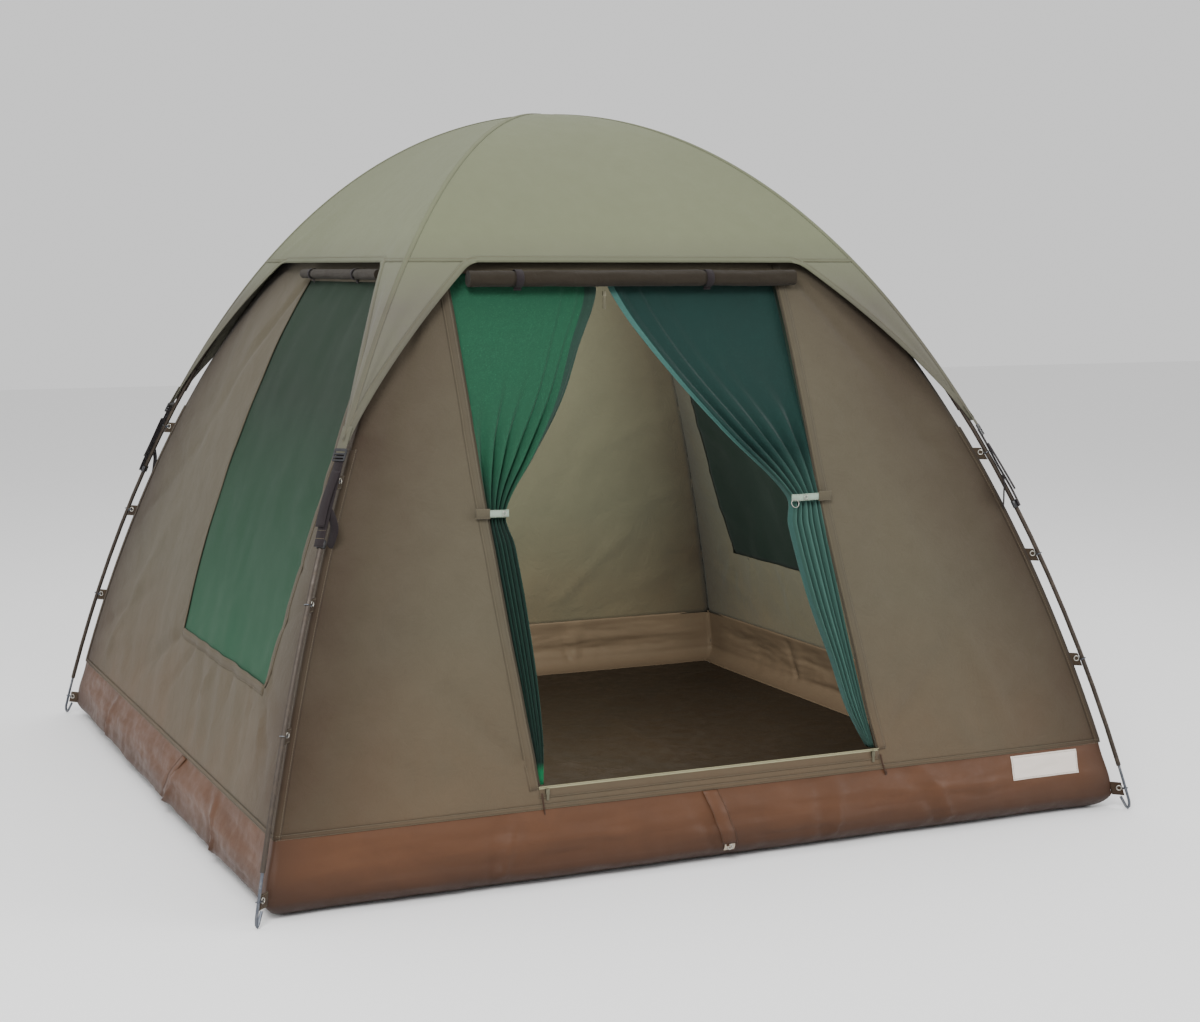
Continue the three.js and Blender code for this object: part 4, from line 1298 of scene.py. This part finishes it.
def net_curtain(name, edge, side_edge, material, node, seed):
    """A net door leaf drawn aside: flat at the top, fanned pleats, a tight waist and a loose tail."""
    waves, columns, count = 5.5, 170, 150
    left = side_edge is JAMB_LEFT
    rows, uv_rows = [], []
    inner = [(z, x) for z, x, _ in edge]
    depths = [(z, d / 1000) for z, _, d in edge]
    for z in spread(edge[0][0], edge[-1][0], count):
        outer_x, inner_x = jamb(side_edge, z), through(inner, z)
        outer_x += 0.004 if left else -0.004
        thick = through(depths, z)
        width = abs(inner_x - outer_x)
        depth = pleat_depth(width, waves, thick / 2 - 0.0015)
        row, uv_row = [], []
        calm = smooth((z - TIE_HEIGHT - 0.03) / 0.40)
        sharp = mix(3.2, 2.0, calm)
        for i in range(columns + 1):
            u = i / columns
            drift = 0.055 * noise.noise(Vector((u * 3.4, z * 1.6, seed))) * math.sin(math.pi * u)
            crowd = mix(u, u**1.8, calm)
            wave = 2 * math.pi * waves * (crowd + drift) + 0.9 * noise.noise(Vector((z * 3.1, seed, 2.0)))
            strength = 0.97 + 0.36 * noise.noise(Vector((u * waves * 0.8, z * 1.4, seed + 4)))
            strength *= mix(1.0, 0.06 + 0.6 * smooth((u - 0.5) / 0.4), calm)
            pleat = depth * strength * (1 - 2 * abs(math.sin(wave / 2)) ** sharp)
            pleat += 0.004 * smooth((u - 0.93) / 0.04)
            cross = 0.12 * width / waves * math.cos(wave) * strength
            x = mix(outer_x, inner_x, u) + cross * math.sin(math.pi * u)
            back = CURTAIN_BACK + thick / 2
            pleat = clamp(pleat, -thick / 2 + 0.001, thick / 2 - 0.001)
            row.append(wall_point(0, x, z, pleat - back))
            uv_row.append((u * NET_CUT, z))
        rows.append(row)
        uv_rows.append(uv_row)
    if not left:
        rows = [row[::-1] for row in rows]
        uv_rows = [row[::-1] for row in uv_rows]
    patch = Patch()
    patch.grid(rows, uv_rows)
    made = piece(name, patch.points, patch.faces, material, "tent", patch.uv)
    made.data.materials.append(M["green_hem"] if left else M["teal_hem"])
    rim = range(columns - 13, columns) if left else range(0, 6)
    for face in made.data.polygons:
        row, column = divmod(face.index, columns)
        if column in rim and row > 3:
            face.material_index = 1
    thicken(made, "curtain")
    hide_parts(node)


def make_door():
    rolled(
        "door_flap_roll", 0, -0.507, 0.465, DOOR_ROLL_HEIGHT, DOOR_ROLL_OUT, DOOR_ROLL_RADIUS, "door_roll"
    )
    net_curtain("door_net_left", LEFT_EDGE, JAMB_LEFT, M["green"], "door_curtain_left", 11.0)
    net_curtain("door_net_right", RIGHT_EDGE, JAMB_RIGHT, M["teal"], "door_curtain_right", 23.0)


def loop_strap(patch, side, s, z, out, radius, web):
    """A strap round a rolled flap: up behind it, over the front and down again, with a loose tail."""
    path = []
    centre, foot = tent_half(z, out), -math.pi * 0.62
    for angle in spread(foot, math.pi * 0.80, 34):
        depth = radius * math.cos(angle)
        path.append(turned((s, -(centre + depth), z + radius * math.sin(angle)), side))
    for u in spread(0.0, 1.0, 6)[1:]:
        height = z + radius * math.sin(foot) - ROLL_STRAP_TAIL * u
        depth = radius * math.cos(foot) + 0.004 * math.sin(u * 3)
        path.insert(0, turned((s + 0.002 * u, -(centre + depth), height), side))
    level = turned((1, 0, 0), side)
    faces = []
    for i, point in enumerate(path):
        before, after = path[max(i - 1, 0)], path[min(i + 1, len(path) - 1)]
        faces.append(level.cross((after - before).normalized()).normalized())
    patch.strip(path, level, faces, *WEBS[web])


def make_roll_straps():
    patch = Patch()
    for s in (-0.368, 0.194):
        loop_strap(patch, 0, s, DOOR_ROLL_HEIGHT, DOOR_ROLL_OUT, 0.0222, "door_roll")
    for side in (1, 3):
        for s in (-0.142, 0.273):
            loop_strap(patch, side, s, WINDOW_ROLL_HEIGHT, WINDOW_ROLL_OUT, WINDOW_ROLL_RADIUS, "window_roll")
    patch.made("roll_straps", M["webbing"], slot="black_webbing")


def make_ties():
    """The curtain tie-backs: pale webbing with a nickel eyelet, and a wire ring on the right one."""
    for name, start, seen, end, eyelet, node in (
        ("left", -0.595, -0.560, -0.503, -0.519, "tie_back_left"),
        ("right", 0.430, 0.392, 0.314, 0.352, "tie_back_right"),
    ):
        patch, root = Patch(), Patch()
        front = tent_half(TIE_HEIGHT - 0.013) + 0.0016
        path = []
        for u in spread(0.0, 1.0, 30):
            x = mix(start, end, u)
            wrap = 0.010 * smooth((u - 0.80) / 0.2)
            path.append(Vector((x, -(front - wrap + 0.0016 * math.sin(u * 7)), TIE_HEIGHT - 0.003 * u)))
        shown = [p for p in path if abs(p.x - end) <= abs(seen - end)]
        sewn = [p for p in path if abs(p.x - end) > abs(seen - end) - 0.004]
        patch.strip(shown, Vector((0, 0, 1)), Vector((0, -1, 0)), *WEBS["tie_band"])
        band_piece = patch.made("tie_band_" + name, M["pale"], "tie_back_" + name, slot="pale_webbing")
        root.strip(sewn, Vector((0, 0, 1)), Vector((0, -1, 0)), *WEBS["tie_tab"])
        root_piece = root.made("tie_tab_" + name, M["wall"], "tie_back_" + name, slot="wall_canvas")
        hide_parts(node)
        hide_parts(node)
        rim = Patch()
        centre = (eyelet, -(front + 0.0030), TIE_HEIGHT - 0.002)
        rim.tube(circle(centre, (1, 0, 0), (0, 0, 1), 0.0052), 0.0013, 8, True)
        rim.made("tie_eyelet_" + name, M["eyelet"], "tie_back_" + name)
        lines = []
        for edge in (-0.0078, 0.0078):
            lines.append([p + Vector((0, -0.0024, edge)) for p in shown])
        for edge in (-0.0110, 0.0110):
            lines.append([p + Vector((0, -0.0028, edge)) for p in sewn])
        repeated("tie_stitching_" + name, lines, material=M["thread"], body="tie_back_" + name, **STITCH)
    ring = Patch()
    centre = (0.318, -(front + 0.0040), TIE_HEIGHT - 0.017)
    ring.tube(circle(centre, (1, 0, 0), (0, 0.3, 0.95), 0.011), 0.0011, 8, True)
    ring.made("tie_ring_right", M["eyelet"], "tie_back_right")


def circle(centre, a, b, radius, count=24):
    centre, a, b = Vector(centre), Vector(a).normalized(), Vector(b).normalized()
    turns = [2 * math.pi * i / count for i in range(count)]
    return [centre + radius * (math.cos(t) * a + math.sin(t) * b) for t in turns]


def make_zips():
    """The coil zip along the sill and up both jambs: cloth tape and a row of nylon teeth."""
    tape, coils, dark_tape, dark_coils = Patch(), [], Patch(), []
    front = on_wall(0)
    path = [(s, SILL_TOP + 0.001) for s in spread(jamb(JAMB_LEFT, SILL_TOP), jamb(JAMB_RIGHT, SILL_TOP), 70)]
    band(tape, front, path, *BANDS["sill_zip"], -0.0008)
    coils.append(offset_line(front, path, 0.0035, 0.0014))
    for edge, sign in ((JAMB_LEFT, 1), (JAMB_RIGHT, -1)):
        path = [(jamb(edge, z) + sign * 0.002, z) for z in spread(SILL_TOP + 0.006, DOOR_TOP - 0.03, 80)]
        band(dark_tape, front, path, *BANDS["jamb_zip"], -0.0014)
        dark_coils.append(offset_line(front, path, -sign * 0.002, 0.0006))
    tape.made("door_zip_tape", M["zip_tape"], slot="wall_canvas")
    dark_tape.made("jamb_zip_tape", M["zip_dark"], slot="wall_canvas")
    repeated("door_zip_coil", coils, 0.0026, 0.0016, 0.0013, M["zip_tape"])
    repeated("jamb_zip_coil", dark_coils, 0.0026, 0.0016, 0.0011, M["zip_dark"])


# ---- cords ----
LEFT_CORD = (  # millimetres, across and up
    (-507, 222), (-506, 205), (-504, 180), (-503, 150), (-506, 120), (-514, 92), (-526, 66), (-538, 45),
)
RIGHT_CORD = ((468, 222), (470, 205), (474, 188), (480, 168))
CORD_RADIUS = 0.002
CORD_STAND_OFF = 0.004


def make_cord(name, route, node):
    knots = [Vector((x / 1000, -(tent_half(z / 1000) + CORD_STAND_OFF), z / 1000)) for x, z in route]
    path = curve_through(knots, 5)
    radii = [CORD_RADIUS * (1 + 0.05 * math.sin(i * 2.6)) for i in range(len(path))]
    patch = Patch()
    patch.tube(path, radii, 12)
    made = patch.made(name, M["cord"], slot="brown_cord")
    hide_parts(node)
    knot = Patch()
    tip = path[-1]
    wraps = [
        tip + Vector((0.0026 * math.cos(a), 0.0026 * math.sin(a) * 0.6, 0.0012 * a - 0.004))
        for a in spread(0, 12.4, 60)
    ]
    knot.tube(wraps, 0.0012, 8)
    knot_piece = knot.made(name + "_knot", M["cord"], slot="brown_cord")


def curve_through(knots, between):
    """A smooth path through points, with a few steps between each pair."""
    path = []
    for i in range(len(knots) - 1):
        a, b = knots[i], knots[i + 1]
        before, after = knots[max(i - 1, 0)], knots[min(i + 2, len(knots) - 1)]
        for step in range(between):
            u = step / between
            path.append(
                0.5 * (2 * a + (b - before) * u + (2 * before - 5 * a + 4 * b - after) * u**2
                       + (3 * a - before - 3 * b + after) * u**3)
            )
    return path + [knots[-1]]


# ---- corners: tapes, straps, buckles ----
STRAP_TOP, STRAP_JOIN, STRAP_FOOT = 1.018, 0.868, 0.838
STRAP_OUT = 0.011


def make_corner_tapes():
    """Canvas binding down each wall corner, with stitched tabs whose clips hold the bow pole."""
    tapes, clips, rims, lines = Patch(), Patch(), Patch(), []
    for corner in CORNERS.values():
        rows, uv_rows = [], []
        for z in spread(BUCKET_TOP - 0.004, 1.060, 100):
            base = tent_half(z, 0.0012)
            tip = tent_half(z, 0.0030)
            ring = [
                turned((base - 0.017, -base, z), corner),
                turned((base - 0.016, -(base + 0.0012), z), corner),
                turned((tip, -tip, z), corner),
                turned((base + 0.0012, -(base - 0.016), z), corner),
                turned((base, -(base - 0.017), z), corner),
                turned((base - 0.0008, -(base - 0.0008), z), corner),
            ]
            rows.append(ring)
            uv_rows.append([(x, z) for x in (-0.017, -0.016, 0, 0.016, 0.017, 0)])
        tapes.ring(rows, uv_rows)
        lines.append([mix(row[1], row[2], 0.2) for row in rows])
        lines.append([mix(row[3], row[2], 0.2) for row in rows])
        for height in TAB_HEIGHTS:
            corner_tab(tapes, clips, rims, lines, corner, height)
    made = tapes.made("corner_tapes", M["hem"], slot="corner_tape_canvas")
    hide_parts(*[f"corner_tape_{name}" for name in CORNERS])
    clips.made("pole_clips", M["pin"], slot="pin_steel")
    rims.made("tab_eyelets", M["eyelet"])
    repeated("corner_stitching", lines, material=M["thread"], **STITCH)


def corner_tab(tapes, clips, rims, lines, corner, height):
    """One canvas tab from the wall corner out to the pole: a big eyelet and a wire hook round the pole."""
    t = bow_at(height)
    level, up, out = diagonal_axes(t, corner)
    pole = diagonal_point(t, 0, 0, corner)
    half = tent_half(height, 0.0030)
    if height < BUCKET_TOP:
        half += corner_pull(FLOOR_HALF, height)
    root = turned((half, -half, height), corner)
    path = [mix(root - out * 0.009, pole - out * 0.0080, u) for u in spread(0.0, 1.0, 6)]
    tapes.strip(path, up, level, *WEBS["corner_tab"], -0.0015)
    washer = mix(root, pole, 0.46)
    for sign in (-1, 1):
        rims.tube(circle(washer + level * sign * 0.0017, out, up, 0.0066, 20), 0.0017, 8, True)
    held = (PIN_RADIUS if height < PIN_SOCKET else POLE_RADIUS) + 0.0021
    ring = []
    for angle in spread(math.pi * 0.30, math.pi * 1.70, 26):
        ring.append(pole + held * (math.cos(angle) * level + math.sin(angle) * out))
    for end in (0, -1):
        side_of = (ring[end] - pole).dot(level)
        reach = [mix(ring[end], washer + level * side_of * 0.45, u) for u in spread(0.0, 1.0, 5)[1:]]
        ring = reach[::-1] + ring if end == 0 else ring + reach
    clips.tube(ring, 0.0014, 8)
    for shift in (0.0150, -0.0150):
        lines.append([p + level * 0.0017 + up * shift for p in path])


STRAP_END = (  # (height, stand-off, sway) of the end that runs back to the tent's corner
    (0.925, 0.009, 0.002), (0.905, 0.004, 0.017), (0.885, -0.008, 0.022), (0.865, -0.022, 0.014),
    (0.850, -0.034, 0.004),
)
HOOK_HEIGHT = 0.847


def side_sign(corner):
    return -1 if corner in (0, 2) else 1


def beside_pole(places, corner):
    """(points, level, outward) beside a corner's pole, from (height, stand-off, sway) places."""
    points, levels, faces = [], [], []
    for z, proud, sway in places:
        t = bow_at(z)
        level, _, out = diagonal_axes(t, corner)
        points.append(diagonal_point(t, proud, sway, corner))
        levels.append(level)
        faces.append(out)
    return points, levels, faces


def make_fly_straps():
    """The flysheet's corner straps: webbing through a ladder-lock, down to a hook round the pole."""
    webs, hooks, lines = Patch(), Patch(), []
    for corner in CORNERS.values():
        main = [
            (z, STRAP_OUT + 0.0012 * math.sin((z - STRAP_FOOT) * 40), 0)
            for z in spread(STRAP_FOOT, STRAP_TOP + 0.030, 40)
        ]
        webs.strip(*beside_pole(main, corner), *WEBS["strap"], -0.0009)
        tail = []
        for u in spread(0.0, 1.0, 26):
            z = mix(STRAP_TOP - 0.01, STRAP_JOIN + 0.012, u)
            tail.append((z, STRAP_OUT + 0.0048 + 0.004 * u * u, 0.006 * math.sin(u * 2.6 + corner)))
        webs.strip(*beside_pole(tail, corner), *WEBS["strap_tail"], -0.0008)
        end = [(z, proud, sway * side_sign(corner)) for z, proud, sway in STRAP_END]
        points, levels, faces = beside_pole(end, corner)
        webs.strip(curve_through(points, 4), levels[0], faces[0], *WEBS["strap_end"])
        for z in (STRAP_JOIN - 0.012, STRAP_JOIN + 0.006):
            across = spread(-0.010, 0.010, 8)
            lines.append([diagonal_point(bow_at(z), STRAP_OUT + 0.0018, w, corner) for w in across])
        level, up, out = diagonal_axes(bow_at(HOOK_HEIGHT), corner)
        pole = diagonal_point(bow_at(HOOK_HEIGHT), 0, 0, corner)
        ring = []
        for angle in spread(-math.pi * 0.2, math.pi * 1.2, 24):
            ring.append(pole + 0.0094 * (math.cos(angle) * level + math.sin(angle) * out))
        hooks.strip(ring, up, [(p - pole).normalized() for p in ring], *WEBS["hook"], -0.0013)
    made = webs.made("fly_straps", M["webbing"], slot="black_webbing")
    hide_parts(*[f"fly_strap_{name}" for name in CORNERS])
    hooks.made("strap_hooks", M["plastic"], slot="black_plastic")
    repeated("strap_stitching", lines, material=M["thread"], **WEB_STITCH)
    return made


# ---- bucket trim ----
def bucket_point(side, s, z, lift=0.0):
    out = bucket_relief(side, s, z / BUCKET_TOP) * corner_taper(s, FLOOR_HALF)
    out += corner_pull(s, z)
    return turned((s, -(tent_half(z) + out + lift), z), side)


def make_peg_tabs():
    """Cloth strips sewn down the bucket to its foot, each with a clear patch and an eyelet for a peg."""
    webs, patches, rims, lines = Patch(), Patch(), Patch(), []
    for side, s, lean in PEG_PLACES:
        out, level = turned((0, -1, 0), side), turned((1, 0, 0), side)
        path = [bucket_point(side, s - lean * u, mix(0.048, 0.182, u), 0.0012) for u in spread(0.0, 1.0, 16)]
        webs.strip(path, level, out, *WEBS["peg_strip"])
        foot = [bucket_point(side, s, z, 0.0006 + (0.050 - z) * 0.10) for z in (0.060, 0.050, 0.040, 0.030)]
        patches.strip(foot, level, out, *WEBS["peg_patch"])
        centre = mix(foot[2], foot[3], 0.1) + out * 0.0016
        rims.tube(circle(centre, level, (0, 0, 1), 0.0062, 20), 0.0018, 8, True)
        for shift in (-0.0195, 0.0195):
            lines.append([p + level * shift + out * 0.0024 for p in path])
    webs.made("peg_strips", M["bucket"], slot="bucket_pvc")
    patches.made("peg_patches", M["clear"])
    rims.made("peg_eyelets", M["eyelet"])
    repeated("peg_stitching", lines, material=M["dark_thread"], **WEB_STITCH)


PEG_PLACES = ((0, -0.007, 0.038), (1, 0.15, -0.10), (2, 0.0, 0.038), (3, 0.150, -0.13))


def make_label():
    """A blank cloth label sewn to the front of the bucket."""
    low, high, start, end = 0.112, 0.176, 0.880, 1.100
    rows = [[bucket_point(0, s, z, 0.0016) for s in spread(start, end, 44)] for z in spread(low, high, 14)]
    uv_rows = [[(s, z) for s in spread(start, end, 44)] for z in spread(low, high, 14)]
    patch = Patch()
    patch.grid(rows, uv_rows)
    cloth_piece("blank_label", patch, M["label"], "label", None)
    inset = 0.004
    a, b, c, d = start + inset, end - inset, low + inset, high - inset
    outline = along_outline([(a, c), (b, c), (b, d), (a, d), (a, c)], 0.01)
    line = [bucket_point(0, s, z, 0.0019) for s, z in outline]
    repeated("label_stitching", [line], 0.005, 0.0034, 0.0004, M["thread"])


# ---- hard parts carried over ----
def repaint(node, material, bevel=0.0):
    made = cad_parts[node]
    made.data.materials.clear()
    made.data.materials.append(material)
    if bevel:
        modifier = made.modifiers.new("soft edges", "BEVEL")
        modifier.width = bevel
        modifier.segments = 2
        modifier.limit_method = "ANGLE"


def make_hardware():
    repaint("hub", M["plastic"], 0.001)
    for corner in CORNERS:
        repaint("pole_upper_" + corner, M["pole"])
        repaint("pole_lower_" + corner, M["pole"])
        repaint("corner_pin_" + corner, M["pin"])
        repaint("fly_buckle_" + corner, M["plastic"], 0.0006)
    for node in ("curtain_zip_slider", "curtain_zip_pull", "sill_zip_slider_left", "sill_zip_slider_right"):
        repaint(node, M["zip_metal"], 0.0004)


make_cord("door_cord_left_rope", LEFT_CORD, "door_cord_left")
make_cord("door_cord_right_rope", RIGHT_CORD, "door_cord_right")
make_walls()
make_wall_bands()
fly = make_flysheet()
fly_trim = make_fly_trim()
make_bucket()
make_groundsheet()
make_window("window_net_left", 3, "window_mesh_left", M["window"])
make_window("window_net_right", 1, "window_mesh_right", M["shaded_window"])
for hand, side in (("left", 3), ("right", 1)):
    rolled(
        f"window_flap_roll_{hand}", side, -0.235, 0.470, WINDOW_ROLL_HEIGHT, WINDOW_ROLL_OUT,
        WINDOW_ROLL_RADIUS, f"window_roll_{hand}",
    )
make_door()
make_roll_straps()
make_ties()
make_zips()
make_corner_tapes()
straps = make_fly_straps()
make_peg_tabs()
make_label()
make_hardware()
